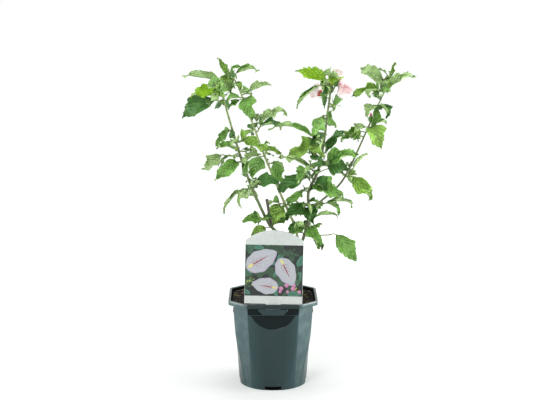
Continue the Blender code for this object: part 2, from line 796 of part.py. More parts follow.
def main():
    clear_scene()
    parts = new_collection("rose_of_sharon")
    cutters = new_collection("cutters")
    make_pot(parts, cutters)
    make_mix(parts)
    make_label(parts)
    limbs = make_limbs(parts)
    make_sprays(parts, limbs)
    for sides in (3, 6, 8):
        bpy.data.objects.remove(profile_curve(sides), do_unlink=True)


main()
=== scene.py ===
"""Rose of sharon (Hibiscus syriacus) in its nursery pot: the finished surfaces and the studio.

Metres, +Z up, the viewer on the -Y side, the origin in the middle of the pot's flat underside.
Each piece is worked out on a grid of two parameters, or as a profile carried along a path. The
leaves, buds and blooms grow on from the canes by the same seeded rule as the solids they replace.
"""

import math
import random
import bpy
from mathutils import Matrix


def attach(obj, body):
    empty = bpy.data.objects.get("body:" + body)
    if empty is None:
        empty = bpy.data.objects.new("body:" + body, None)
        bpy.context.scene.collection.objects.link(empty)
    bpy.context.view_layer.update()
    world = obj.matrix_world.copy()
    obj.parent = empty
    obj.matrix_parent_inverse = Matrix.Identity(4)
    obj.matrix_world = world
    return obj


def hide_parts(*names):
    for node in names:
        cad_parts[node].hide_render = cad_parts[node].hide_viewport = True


bl_info = {
    "name": "Rose of sharon in a nursery pot",
    "version": (1, 0, 0),
    "blender": (4, 5, 0),
    "location": "View3D > Sidebar > Rose of sharon",
    "description": "Pot, potting mix, picture label, bark, leaves, buds and blooms of a shrub",
    "category": "Add Mesh",
}

from collections import namedtuple

import bmesh
import bpy
import numpy as np
from mathutils import Matrix, Vector

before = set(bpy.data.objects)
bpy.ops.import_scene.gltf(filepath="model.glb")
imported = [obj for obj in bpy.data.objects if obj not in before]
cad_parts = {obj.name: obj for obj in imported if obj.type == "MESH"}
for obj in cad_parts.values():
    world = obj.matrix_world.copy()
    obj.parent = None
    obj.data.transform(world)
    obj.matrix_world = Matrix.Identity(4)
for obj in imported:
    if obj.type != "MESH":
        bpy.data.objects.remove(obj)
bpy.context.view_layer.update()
BODY = "root"

MM = 0.001
SPACE = 0.3 * MM

# Pot, in metres
POT_HEIGHT = 0.173
LIP_HALF = 0.085
LIP_HEIGHT = 0.009
UNDER_LIP = POT_HEIGHT - LIP_HEIGHT
TOP_HALF = 0.0764
FOOT_RADIUS = 0.065
WALL = 0.002
FLOOR = 0.003
RIM_WIDTH = 0.0045
FLAT_SHARE = 0.63
SQUARE_FROM = 0.115
LEDGE_Z = 0.1505
LEDGE = (0.099, 0.0013, 0.0014)  # width, how far it stands proud, height
NOTCH = (0.032, 0.0012, 0.008)  # width, depth, height
CRESCENT = (0.085, 0.028, 0.0012)  # chord, drop and depth of the dished panel
RECESS = (0.096, 0.0014)  # width and depth of the band behind the tab, from ledge to lip
PANEL_FADE = 0.024  # how far from its upright edges a flat panel grows paler, as painted light
TAB = (0.056, 0.041, 0.012, 0.0076)  # top width, bottom width, height, thickness
TAB_BACK = 0.0008  # how far the tab's face lies behind the lip's
MIX_TOP = 0.1685
MIX_HALF = 0.0778  # half width of the mix at its top, in the flared mouth

# Label, in metres
LABEL_WIDTH = 0.108
LABEL_SIDE = 0.120
LABEL_ARCH = 0.020
LABEL_THICK = 0.001
LABEL_Y = -0.0825
LABEL_LEAN = math.radians(1.2)
TONGUE = (0.028, 0.013)
PICTURE = (0.015, 0.112)  # from and to, above the label's lower edge
PICTURE_HALF = LABEL_WIDTH / 2 - 0.0004
PRINT_SLIM = {"leaf": 0.42, "broad": 0.6, "rib": 0.05}  # half width by half length
PRINT_GROUND = 0.00004  # how far the printed ground stands off the card
PRINT_STEP = 0.00003  # how far each layer of print stands off the one below

# Limbs, in millimetres: way points from foot to tip, then radius at foot and tip. FLARE is how
# much wider the trunk is at its foot, and it falls to a third over each FLARE_REACH.
TRUNK = (((16, 4, 160.3), (22, 3, 190), (34, 1, 228), (49, 0, 262)), 7.0, 6.2)
FLARE = 0.75
FLARE_REACH = 9.0
SWELL_REACH = 8.0  # the same for the swelling at a cane's foot
ROOT_DEPTH = 0.003  # in metres, how far the trunk's foot goes down into the mix
LIMBS = {
    "left_outer": (
        ((49, 0, 262), (24, -6, 287), (-4, -14, 309), (-30, -28, 362), (-51, -44, 417),
         (-70, -62, 480), (-92, -84, 569), (-82, -92, 596)), 4.4, 1.5),
    "left_inner": (
        ((49, 0, 262), (47, 9, 285), (40, 18, 309), (17, 38, 358), (-17, 66, 436),
         (-41, 86, 499), (-65, 108, 558), (-79, 120, 587)), 3.8, 1.4),
    "right_inner": (
        ((49, 0, 262), (60, -4, 290), (69, -10, 334), (67, -18, 375), (85, -27, 419),
         (95, -38, 478), (101, -50, 533), (108, -62, 601)), 4.4, 1.6),
    "right_outer": (
        ((69, -10, 332), (91, 8, 353), (121, 24, 376), (142, 36, 402), (171, 56, 459),
         (201, 76, 523), (222, 90, 565), (229, 96, 583)), 3.0, 1.3),
    "cut_stub": (((-2, -13, 306), (-8, -17, 338), (-12, -20, 362)), 3.4, 3.0),
}

# Sprays, from the foot of each cane to its tip. A row gives the height on the cane in mm, the
# leading leaf's azimuth (0 right, 90 away, 180 left, 270 to the viewer) and pitch in degrees,
# the degrees its face leans from straight up to the viewer, the stalk and blade in mm, the
# shape, how many leaves the stem carries and the turn from one leaf to the next.
SPRAYS = {
    "left_outer": (
        (326, 190, -10, 70, 6, 36, "lobed", 3, 60),
        (385, 172, -42, 40, 8, 62, "long", 3, 95),
        (394, 350, -4, 45, 6, 46, "lobed", 2, 80),
        (439, 225, -28, 75, 8, 60, "lobed", 2, 60),
        (449, 180, -43, 75, 30, 44, "lobed", 3, 50),
        (458, 318, -60, 85, 12, 44, "lobed", 2, 80),
        (474, 345, -11, 65, 8, 54, "lobed", 3, 85),
        (499, 198, -52, 80, 6, 36, "lobed", 3, 95),
        (551, 165, -25, 60, 14, 74, "lobed", 3, 90),
        (569, 195, -6, 70, 6, 52, "lobed", 2, 80),
        (585, 168, 6, 60, 5, 70, "lobed", 3, 95),
        (600, 200, 66, 60, 5, 36, "young", 3, 115),
    ),
    "left_inner": (
        (346, 222, -60, 85, 9, 50, "lobed", 3, 100),
        (418, 330, -62, 80, 8, 42, "lobed", 2, 90),
        (434, 225, -62, 85, 9, 48, "lobed", 2, -90),
        (449, 5, -22, 60, 4, 36, "young", 3, 85),
        (480, 60, 76, 0, 16, 24, "bud", 3, 70),
        (492, 0, 26, 40, 12, 56, "long", 2, 90),
        (543, 300, -52, 85, 10, 48, "lobed", 2, -90),
        (550, 0, 18, 45, 12, 46, "lobed", 3, 90),
        (573, 205, -16, 65, 5, 50, "lobed", 2, -95),
        (600, 15, 6, 45, 8, 52, "lobed", 3, 110),
    ),
    "right_inner": (
        (291, 356, -50, 80, 54, 66, "lobed", 2, 38),
        (308, 300, -45, 80, 6, 48, "lobed", 2, -100),
        (323, 10, 2, 5, 8, 46, "long", 2, 90),
        (350, 200, -36, 65, 4, 48, "lobed", 3, 90),
        (376, 185, -40, 60, 6, 40, "young", 2, -80),
        (391, 320, -13, 60, 4, 62, "lobed", 2, 62),
        (400, 160, -33, 60, 12, 64, "lobed", 2, -80),
        (413, 165, 22, 50, 5, 78, "long", 2, 45),
        (430, 335, 23, 65, 17, 58, "lobed", 3, 85),
        (450, 20, 54, 75, 5, 56, "long", 2, 90),
        (465, 205, -15, 60, 8, 60, "lobed", 2, 75),
        (473, 170, 17, 30, 14, 92, "long", 2, -80),
        (523, 210, -60, 85, 7, 50, "lobed", 3, -95),
        (540, 340, 56, 0, 8, 42, "bloom", 1, 0),
        (555, 140, 22, 0, 7, 38, "bloom", 1, 0),
        (571, 30, 68, 0, 8, 36, "bloom", 2, 60),
        (578, 180, -44, 45, 15, 64, "long", 2, 85),
        (588, 195, 10, 60, 7, 58, "lobed", 3, 90),
    ),
    "right_outer": (
        (352, 20, -13, 10, 14, 54, "long", 3, 80),
        (400, 350, -50, 85, 10, 58, "lobed", 2, 80),
        (406, 25, 44, 10, 8, 48, "long", 2, 75),
        (472, 170, -27, 50, 12, 34, "young", 3, 85),
        (490, 296, -40, 80, 6, 54, "lobed", 2, -85),
        (530, 215, -66, 85, 8, 52, "lobed", 3, 95),
        (543, 170, 60, 0, 5, 20, "bud", 2, -80),
        (556, 200, -6, 55, 8, 58, "lobed", 2, -75),
        (564, 352, 32, 50, 4, 60, "long", 3, 85),
        (574, 160, 24, 60, 8, 54, "lobed", 2, -85),
        (600, 20, 72, 60, 3, 30, "young", 3, 120),
    ),
}
# Each spray's tone, in the same order: n new and bright, f fresh, m middle, d deep, p pale
TONES = {
    "left_outer": "mpdmpffmdnpf",
    "left_inner": "fmmfmpmpfm",
    "right_inner": "mmpdmmdpmdfmmfmmmn",
    "right_outer": "pfmmfmmfppf",
}
# Each spray's leaf form: f fairly flat, b broad and flat, w wavy, r rolled, s a slim strap,
# d drooping at both sides, t tapering, n narrow and flat, k narrow with longer teeth. After a
# capital, the leaves beside the leading one are slim straps.
FORMS = {
    "left_outer": "frftWttnnnrk",
    "left_inner": "bffkwwbtfr",
    "right_inner": "nfrffFtrfwfsdwwsRk",
    "right_outer": "rfrwbbwtffk",
}
# By form: the halves' fold at the midrib and their further turn at the margin in radians, the
# tip's hook, the twist towards the tip in radians, the height of the margin's ripples, and the
# blade's width by the usual one
FORM_OF = {
    "f": (0.4, 0.35, 1.0, 0.35, 0.055, 1.0),
    "b": (0.3, 0.2, 0.8, 0.25, 0.055, 1.06),
    "w": (0.42, 0.4, 1.7, 0.6, 0.075, 1.0),
    "r": (1.0, 0.5, 1.2, 0.9, 0.06, 0.62),
    "s": (0.6, 0.4, 1.6, 0.5, 0.05, 0.34),
    "t": (0.45, 0.4, 1.3, 0.5, 0.06, 0.74),
    "n": (0.3, 0.4, 0.8, 0.35, 0.05, 0.7),
    "k": (0.4, 0.3, 0.8, 0.3, 0.05, 0.7),
    "d": (-0.35, -0.75, 2.6, 0.6, 0.06, 0.98),
}
# Buds that stand on a cane beside its sprays: height, azimuth, pitch and length in mm, and
# whether a petal shows at the tip
BUDS = {
    "left_outer": ((402, 168, 58, 21, False), (470, 195, 40, 13, False)),
    "left_inner": ((596, 130, 74, 15, False),),
    "right_inner": ((572, 265, 50, 12, True), (560, 60, 60, 18, False)),
    "right_outer": ((497, 275, 60, 20, True), (556, 200, 60, 15, False)),
}
# Leaves on bare nodes of the canes: a spray's row as far as its shape, then the tone and the form
LOW_LEAVES = {
    "left_outer": ((303, 200, -24, 70, 14, 32, "lobed", "f", "f"),
                   (462, 150, -8, 60, 12, 34, "lobed", "m", "t")),
    "left_inner": ((326, 205, -34, 85, 6, 32, "lobed", "m", "b"),
                   (540, 195, -35, 80, 8, 30, "lobed", "m", "t")),
    "right_inner": ((410, 20, 8, 60, 22, 34, "long", "p", "w"),
                    (399, 305, -26, 85, 8, 36, "lobed", "d", "w"),
                    (345, 275, -40, 85, 5, 42, "lobed", "d", "f"),
                    (306, 212, -16, 80, 4, 38, "lobed", "m", "t"),
                    (432, 338, -18, 88, 14, 44, "lobed", "d", "b")),
    "right_outer": ((528, 250, -76, 88, 5, 46, "long", "m", "f"),
                    (480, 185, -12, 70, 8, 34, "lobed", "f", "f")),
}
# The right inner cane's blooms, by spray number: how far each is open, its petals' finish, which
# is 0 for clear and 2 for faded, and its size as a share of its solid's
BLOOMS = {14: (0.15, 0, 1.0), 15: (0.8, 2, 0.74), 16: (0.4, 2, 0.9)}

BEND = {"lobed": 42, "long": 44, "young": 30}  # degrees that a blade turns down along its length
LATER_STALK = 9 * MM  # stalk of the leaves beside the leading one
BESIDE = 2.0  # blade of a leaf beside a bud or bloom, as a multiple of the bud's or bloom's length
BESIDE_UP = Vector((0.1, 0.2, 1))  # what the side of a bud or bloom is turned to
TRIES = (0, 16, -16, 34, -34)  # further turns in degrees that the source tries, to find room
PATH_STEPS = 3  # steps of a solid's curve between two way points
NEAR = 2.2 * MM  # how close a corner of the solid is to a leaf that the solid has
STALK_RADIUS = 0.95 * MM
STEM_RADIUS = 1.25 * MM
SLIM = (0.7, 0.95)  # the bark's radius as a share of the solid's, at a cane's foot and at its tip
STUB_SLIM = 0.6  # the same at the cut stub's foot

# Studio lamps: place, width in metres, and power as a share of the main light's
LAMPS = {
    "main": ((-0.8, -1.9, 1.9), 0.9, 1.0),
    "left": ((-1.5, -0.15, 0.42), 0.85, 0.5),
    "right": ((1.5, -0.15, 0.42), 0.85, 0.9),
    "top": ((0.2, 0.3, 2.2), 1.0, 0.8),
}
LAMPS_AIM = Vector((0, 0, 0.3))
FLOOR_HALF = 30
CAMERA_AT = (-0.0125, -2.170, 0.705)
CAMERA_PITCH = math.radians(80.9)
SENSOR_WIDTH = 36  # mm
FOCAL_LENGTH = 1150 / 533  # in widths of the picture, from the photograph's pixels


# Colours, nodes and materials


def linear(code):
    """An sRGB hex colour as linear red, green and blue."""
    value = np.array([int(code[k:k + 2], 16) for k in (1, 3, 5)]) / 255
    curved = np.where(value <= 0.04045, value / 12.92, ((value + 0.055) / 1.055) ** 2.4)
    return tuple(float(v) for v in curved)


def add_node(tree, kind, inputs=None, **settings):
    """Adds one node, sets its values and links its inputs.

    An input is given a value, a socket, or a node whose first output is meant.
    """
    node = tree.nodes.new(kind)
    for key, value in settings.items():
        setattr(node, key, value)
    for key, value in (inputs or {}).items():
        if isinstance(value, bpy.types.Node):
            value = value.outputs[0]
        if isinstance(value, bpy.types.NodeSocket):
            tree.links.new(value, node.inputs[key])
        else:
            node.inputs[key].default_value = value
    return node


def shader_of(made):
    """The shader that a material comes with."""
    return made.node_tree.nodes["Principled BSDF"]


def new_material(name, colour, roughness, ior=1.5):
    """A material of one colour, with its roughness and its index of refraction."""
    made = bpy.data.materials.new(name)
    made.use_nodes = True
    shader = shader_of(made)
    shader.inputs["Base Color"].default_value = (*colour, 1)
    shader.inputs["Roughness"].default_value = roughness
    shader.inputs["IOR"].default_value = ior
    return made


def dressed(made, colour, relief=None, depth=0.0):
    """Gives a material its pattern of colour and a relief so many millimetres deep."""
    tree = made.node_tree
    tree.links.new(colour, shader_of(made).inputs["Base Color"])
    if relief is not None:
        raised = add_node(tree, "ShaderNodeBump", {"Height": relief, "Strength": 1.0,
                                                   "Distance": depth * MM})
        tree.links.new(raised.outputs["Normal"], shader_of(made).inputs["Normal"])
    return made


def axes_of(tree, source="Object"):
    """The X, Y and Z of a kind of texture coordinate."""
    place = add_node(tree, "ShaderNodeTexCoord")
    return add_node(tree, "ShaderNodeSeparateXYZ", {"Vector": place.outputs[source]}).outputs


def noise(tree, millimetres, stretch=(1, 1, 1), detail=3.0, source="Object"):
    """Noise whose lumps measure about so many millimetres."""
    place = add_node(tree, "ShaderNodeTexCoord")
    scaled = add_node(tree, "ShaderNodeMapping", {"Vector": place.outputs[source],
                                                  "Scale": stretch})
    return add_node(tree, "ShaderNodeTexNoise", {"Vector": scaled, "Detail": detail,
                                                 "Scale": 1 / (millimetres * MM)})


def shaded(tree, value, edges, first, second, most=1.0):
    """The first colour before one edge of the value, the second past the other edge.

    Between the edges one passes evenly into the other, and past them the second has the share
    called most. Each colour is a linear colour or a socket.
    """
    share = add_node(tree, "ShaderNodeMapRange", {"Value": value, "From Min": edges[0],
                                                  "From Max": edges[1], "To Max": most})
    first, second = (colour if isinstance(colour, bpy.types.NodeSocket) else (*colour, 1)
                     for colour in (first, second))
    # A Mix node's sockets 6 and 7 are its two colours, and its output 2 is the mixed one.
    mixed = add_node(tree, "ShaderNodeMix", {"Factor": share, 6: first, 7: second},
                     data_type="RGBA")
    return mixed.outputs[2]


def times(colour, share):
    """A darker or brighter shade: each channel times the share."""
    return [channel * share for channel in colour]


def moulded_polypropylene(colour, dust):
    """Satin moulded polypropylene: fine mould grain, and dust that gathers in soft patches.

    Each flat panel grows paler towards its two upright edges, which is painted light, and the
    lip above it is darker, which is painted shade.
    """
    made = new_material("moulded_polypropylene", colour, 0.3, ior=1.36)
    tree = made.node_tree
    axes = axes_of(tree)
    apart = [add_node(tree, "ShaderNodeMath", {0: axes[key]}, operation="ABSOLUTE")
             for key in "XY"]
    across = add_node(tree, "ShaderNodeMath", {0: apart[0], 1: apart[1]}, operation="MINIMUM")
    # Half a panel's width grows with height as the wall's half width does.
    edge = add_node(tree, "ShaderNodeMath", {
        0: axes["Z"], 1: FLAT_SHARE * (TOP_HALF - FOOT_RADIUS) / UNDER_LIP,
        2: FLAT_SHARE * FOOT_RADIUS}, operation="MULTIPLY_ADD")
    past = add_node(tree, "ShaderNodeMath", {0: across, 1: edge}, operation="SUBTRACT")
    # Painted light: each flat panel grows paler towards its upright edges.
    panel = shaded(tree, past, (-PANEL_FADE, 0), colour, times(colour, 1.6))
    # Painted shade: the lip above the panels is darker.
    plain = shaded(tree, axes["Z"], (UNDER_LIP - 0.0005, UNDER_LIP + 0.001), panel,
                   times(colour, 0.65))
    dusty = shaded(tree, noise(tree, 24), (0.5, 0.8), plain, dust, most=0.04)
    specks = noise(tree, 1.6, detail=1.0)
    specked = shaded(tree, specks, (0.68, 0.76), dusty, dust, most=0.35)
    # The real grain is about 0.3 mm; it is drawn at 0.8 mm, which is as fine as shows.
    return dressed(made, specked, noise(tree, 0.8, detail=1.0), 0.03)


def polypropylene_painted_light(colour, dust):
    """The plastic on the corners and the rim: a paler satin, which is painted light.

    The painted light is strongest at the rim and fades by half towards the foot. The rim's top is
    paler still: dust, with a painted highlight.
    """
    plain, dust = Vector(colour), Vector(dust)
    # Painted light: a much paler shade of the plastic, with a little dust in it.
    painted_lit = tuple(plain.lerp(dust, 0.12) * 2.5)
    made = new_material("polypropylene_painted_light", painted_lit, 0.32, ior=1.5)
    tree = made.node_tree
    height = axes_of(tree)["Z"]
    # Painted light that grows towards the rim.
    painted_lit, painted_brighter = (shaded(tree, height, (-0.1, 0.12), colour, pale)
                    for pale in (painted_lit, times(colour, 2.1)))
    patches = shaded(tree, noise(tree, 18), (0.4, 0.7), painted_brighter, painted_lit)
    # The rim's top: dust, made brighter as a painted highlight.
    painted_light_and_dusty_rim = shaded(tree, height, (POT_HEIGHT - 0.0015, POT_HEIGHT - 0.0002), patches,
                    plain.lerp(dust, 0.8) * 1.5)
    return dressed(made, painted_light_and_dusty_rim, noise(tree, 0.8, detail=1.0), 0.03)


def polished_polypropylene_in_painted_shade(colour):
    """The same plastic where the mould is polished: smoother, and darker as painted shade, in the
    sunk panels.
    """
    return new_material("polished_polypropylene_in_painted_shade", times(colour, 0.3), 0.2, ior=1.22)


def plastic_in_shade():
    """The inner wall and the foot's notches, from which hardly any light comes back."""
    return new_material("plastic_in_shade", (0.002, 0.002, 0.002), 0.9, ior=1.1)


def composted_bark(name, dark, light, grain):
    """Moist composted bark and peat: matt, dark, mottled in lumps of a few millimetres."""
    made = new_material(name, dark, 0.9)
    tree = made.node_tree
    lumps = shaded(tree, noise(tree, grain), (0.42, 0.68), dark, light)
    return dressed(made, lumps, noise(tree, grain / 3), 0.3)


def coated_card(name, colour):
    """Printed polypropylene card: smooth, faintly cloudy, with a soft gloss."""
    made = new_material(name, colour, 0.34)
    tree = made.node_tree
    return dressed(made, shaded(tree, noise(tree, 7), (0.3, 0.7), times(colour, 0.9), colour))


def printing_ink(name, colour):
    """Offset ink on card: a soft mottle of about a millimetre, as a coarse screen gives."""
    made = new_material(name, colour, 0.38)
    tree = made.node_tree
    return dressed(made, shaded(tree, noise(tree, 1.4, detail=1.0), (0.35, 0.65),
                                times(colour, 0.82), colour))


def living_bark(name, low, high, heights):
    """Shrub bark: long fine furrows, pale pores, woody at the foot and green towards the tip."""
    made = new_material(name, low, 0.62)
    tree = made.node_tree
    aged = shaded(tree, axes_of(tree)["Z"], heights, low, high)
    furrows = noise(tree, 1.1, stretch=(1, 1, 0.16), detail=4.0)
    # Painted shade: the bark is darker in its furrows, where the relief is low.
    furrowed = shaded(tree, furrows, (0.38, 0.62), times(low, 0.62), aged)
    pores = noise(tree, 1.5, stretch=(1, 1, 0.7), detail=0.0)
    pale = [min(1.0, channel * 1.7 + 0.05) for channel in low]
    return dressed(made, shaded(tree, pores, (0.66, 0.72), furrowed, pale, most=0.6), furrows,
                   0.35)


def leaf_skin(name, colour, vein, roughness):
    """Leaf skin: a soft sheen, paler veins that leave the midrib forwards, a faint mottle.

    U runs along the blade and V across it, so the side veins follow U - 0.7 |V|.
    """
    made = new_material(name, colour, roughness, ior=1.36)
    tree = made.node_tree
    axes = axes_of(tree, "UV")
    centred = add_node(tree, "ShaderNodeMath", {0: axes["Y"], 1: 0.5}, operation="SUBTRACT")
    across = add_node(tree, "ShaderNodeMath", {0: centred}, operation="ABSOLUTE")
    slope = add_node(tree, "ShaderNodeMath", {0: across, 1: -0.7, 2: axes["X"]},
                     operation="MULTIPLY_ADD")
    side = add_node(tree, "ShaderNodeMath", {0: slope, 1: 0.08}, operation="PINGPONG")
    lines, midrib = (add_node(tree, "ShaderNodeMapRange", {"Value": away, "From Min": width,
                                                           "From Max": 0.0})
                     for away, width in ((side, 0.022), (across, 0.055)))
    veins = add_node(tree, "ShaderNodeMath", {0: lines, 1: midrib}, operation="MAXIMUM")
    ground = shaded(tree, noise(tree, 12), (0.34, 0.66), times(colour, 0.64),
                    times(colour, 1.1))
    veined = shaded(tree, veins, (0, 1), ground, vein, most=0.5)
    # The fields between the side veins stand up like pillows.
    field = add_node(tree, "ShaderNodeMapRange", {"Value": side, "From Max": 0.08},
                     interpolation_type="SMOOTHSTEP")
    ribbed = add_node(tree, "ShaderNodeMath", {0: midrib, 1: -0.6, 2: field},
                      operation="MULTIPLY_ADD")
    return dressed(made, veined, ribbed, 1.3)


def green_rind(name, colour, shade):
    """Young rind of stalks, buds and bracts, and rolled petals: satin, with faint long streaks."""
    made = new_material(name, colour, 0.5, ior=1.42)
    tree = made.node_tree
    streaks = noise(tree, 1.2, stretch=(1, 1, 0.3))
    return dressed(made, shaded(tree, streaks, (0.35, 0.65), shade, colour))


def petal_skin(name, pale, edge, eye, eye_reach=0.46):
    """Thin petal: a crimson eye at its base that runs out in rays, white, then a pink rim.

    U runs from the petal's foot to its rim, and the rays shift it by up to 0.22.
    """
    made = new_material(name, pale, 0.55, ior=1.4)
    tree = made.node_tree
    rays = noise(tree, 60, stretch=(0.8, 9, 1), detail=1.0, source="UV")
    reach = add_node(tree, "ShaderNodeMath", {0: rays, 1: 0.22, 2: axes_of(tree, "UV")["X"]},
                     operation="MULTIPLY_ADD")
    blush = shaded(tree, reach, (0.55, 1.1), pale, edge)
    shader_of(made).inputs["Sheen Weight"].default_value = 0.2
    return dressed(made, shaded(tree, reach, (eye_reach, eye_reach - 0.16), blush, eye))


def studio_paper(colour, glow):
    """Matt white paper that gives off a little light, and less within reach of the pot, which paints
    a soft shadow round it.
    """
    made = new_material("studio_paper", colour, 0.8)
    tree = made.node_tree
    shader_of(made).inputs["Emission Color"].default_value = (0.97, 1, 0.975, 1)
    place = add_node(tree, "ShaderNodeTexCoord")
    away = add_node(tree, "ShaderNodeVectorMath", {0: place.outputs["Object"]},
                    operation="LENGTH")
    given = add_node(tree, "ShaderNodeMapRange", {
        "Value": away.outputs["Value"], "From Min": 0.1, "From Max": 1.5, "To Min": glow * 0.46,
        "To Max": glow}, interpolation_type="SMOOTHSTEP")
    tree.links.new(given.outputs["Result"], shader_of(made).inputs["Emission Strength"])
    return made


# Grids and meshes


class Sheets:
    """Grids of points gathered into one mesh, each with its own finish."""

    def __init__(self):
        self.points = []
        self.quads = []
        self.slots = []
        self.places = []
        self.count = 0

    def add(self, grid, slot=0, wrap=False, uv=None):
        """Joins neighbouring points of a rows x columns grid into quads.

        The quads have one finish, or a finish each.
        """
        rows, columns = grid.shape[:2]
        wide = columns if wrap else columns - 1
        i, j = np.meshgrid(np.arange(rows - 1), np.arange(wide), indexing="ij")
        after = (j + 1) % columns
        quads = np.stack((i * columns + j, (i + 1) * columns + j,
                          (i + 1) * columns + after, i * columns + after), -1)
        self.quads.append(quads.reshape(-1, 4) + self.count)
        self.points.append(grid.reshape(-1, 3))
        self.slots.append(np.broadcast_to(slot, (rows - 1, wide)).ravel())
        if uv is None:
            uv = np.zeros((rows, columns, 2))
        self.places.append(np.broadcast_to(uv, (rows, columns, 2)).reshape(-1, 2))
        self.count += rows * columns

    def mesh(self, name, finishes, closed=False):
        """Merges doubles at seams and poles; a closed shape has its faces turned outwards."""
        made = bpy.data.meshes.new(name)
        quads = np.concatenate(self.quads)
        made.from_pydata(np.concatenate(self.points), [], quads)
        layer = made.uv_layers.new(name="surface")
        layer.data.foreach_set("uv", np.concatenate(self.places)[quads.ravel()].ravel())
        made.polygons.foreach_set("material_index", np.concatenate(self.slots).astype(np.int32))
        for finish in finishes:
            made.materials.append(finish)
        work = bmesh.new()
        work.from_mesh(made)
        bmesh.ops.remove_doubles(work, verts=work.verts, dist=0.000002)
        if closed:
            bmesh.ops.recalc_face_normals(work, faces=work.faces)
        for face in work.faces:
            face.smooth = True
        work.to_mesh(made)
        work.free()
        return made


def add_piece(name, mesh, replaced=()):
    """Links a finished mesh as a piece of the plant that rides with the solids."""
    piece = bpy.data.objects.new(name, mesh)
    bpy.context.scene.collection.objects.link(piece)
    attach(piece, BODY)
    if replaced:
        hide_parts(*replaced)
    return piece


def thicken(piece, thickness, next_finish):
    """Gives sheets their thickness; the far side takes the finish so many places further on."""
    wall = piece.modifiers.new("thickness", "SOLIDIFY")
    wall.thickness = thickness
    wall.offset = -1
    wall.material_offset = next_finish


def unit(vectors):
    """The vectors scaled to a length of one."""
    return vectors / np.maximum(np.linalg.norm(vectors, axis=-1, keepdims=True), 1e-12)


def eased(value, low, high):
    """0 below low, 1 above high, with a smooth step between them."""
    share = np.clip((value - low) / (high - low), 0, 1)
    return share * share * (3 - 2 * share)


def tube_grid(path, radii, sides, relief=None):
    """Rings square to the path: centre + radius (side cos a + up sin a), closed at both ends.

    Relief, where given, is a rows x sides array that multiplies the radius.
    """
    path = np.asarray(path, float)
    ahead = unit(np.gradient(path, axis=0))
    helper = np.eye(3)[np.argmin(np.abs(path[-1] - path[0]))]
    side = unit(np.cross(ahead, helper))
    up = np.cross(side, ahead)
    angle = np.arange(sides) * 2 * math.pi / sides
    ring = side[:, None] * np.cos(angle)[:, None] + up[:, None] * np.sin(angle)[:, None]
    reach = np.broadcast_to(np.asarray(radii, float)[:, None], ring.shape[:2])
    if relief is not None:
        reach = reach * relief
    grid = path[:, None] + reach[..., None] * ring
    ends = [np.repeat(path[k][None, None], sides, axis=1) for k in (0, -1)]
    return np.concatenate((ends[0], grid, ends[1]))


def placed(grid, place):
    """The grid's points moved by a 4 x 4 place."""
    matrix = np.array(place)
    return grid @ matrix[:3, :3].T + matrix[:3, 3]


def ripples(points, scale, seed, octaves=4):
    """Smooth lumps of about the scale: a sum of plane waves in random directions."""
    draw = np.random.default_rng(seed)
    total = np.zeros(points.shape[:-1])
    for octave in range(octaves):
        size = scale / 1.7 ** octave
        for _ in range(5):
            direction = unit(draw.normal(size=points.shape[-1]))
            phase = draw.uniform(0, 2 * math.pi)
            wave = np.sin(points @ direction * 2 * math.pi / size + phase)
            total += wave / 1.7 ** octave
    return total / 5


# Pot, potting mix and label


def wall_half(z):
    """The wall's half width: it grows evenly with height from the foot to under the lip."""
    return FOOT_RADIUS + (TOP_HALF - FOOT_RADIUS) * z / UNDER_LIP


def squareness(z):
    """0 at the round foot, and 1 from the height at which the wall is eight-sided."""
    return eased(z, 0, SQUARE_FROM)


def rounded_octagon(angle):
    """Radius of an eight-sided section of half width 1 whose corners are softly rounded.

    Each side gives cos(angle - its normal) / its distance, and a high power mean of the eight
    takes the largest with a smooth change from one side to the next.
    """
    sides = np.arange(8) * math.pi / 4
    away = np.where(np.arange(8) % 2, (1 + FLAT_SHARE) / math.sqrt(2), 1.0)
    share = np.maximum(np.cos(angle[..., None] - sides), 0) / away
    return (share ** 70).sum(-1) ** (-1 / 70)


def ring_points(angle, z, half, square):
    """Points at radius half (1 + square (octagon - 1)), from a circle to the eight sides."""
    radius = half * (1 + square * (rounded_octagon(angle) - 1))
    return np.stack((radius * np.cos(angle), radius * np.sin(angle),
                     np.broadcast_to(z, radius.shape)), -1)


def wall_relief(angle, z, radius):
    """How far the outer wall stands out (+) or in (-), and each finish's share there.

    Each of the four sides has a crescent, which is the lower part of a disc, a ledge, a recess
    above it and a notch at the foot, each with a smooth step at its edges. The finishes are the
    polished one, darkened as painted shade, the one with painted light on the corner facets, and
    the dark of the notch, which is painted shade.
    """
    turned = (angle + math.pi / 4) % (math.pi / 2) - math.pi / 4
    across = np.abs(radius * np.sin(turned))
    chord, drop, sunk = CRESCENT
    disc = (chord * chord / 4 + drop * drop) / (2 * drop)
    below = LEDGE_Z - LEDGE[2] / 2
    inside = disc - np.hypot(across, z - (below - drop + disc))
    dish = eased(inside, 0, 0.0012) * eased(below - z, -0.0002, 0.0003)
    width, proud, height = LEDGE
    ledge = eased(width / 2 - across, -0.001, 0.001) * eased(
        height / 2 - np.abs(z - LEDGE_Z), -0.0003, 0.0003)
    wide, deep, tall = NOTCH
    notch = eased(wide / 2 - across, -0.0006, 0.0006) * eased(tall - z, -0.0003, 0.0003)
    band = eased(RECESS[0] / 2 - across, -0.0006, 0.0006) * eased(
        z - LEDGE_Z - height / 2, 0.0002, 0.0008)
    relief = proud * ledge - sunk * dish - deep * notch - RECESS[1] * band
    # Painted light: the corner facets past the flat panels.
    painted_side_light = (across > FLAT_SHARE * wall_half(z)) * 1.0
    return relief, np.stack((np.maximum(dish, band), painted_side_light, notch), -1)


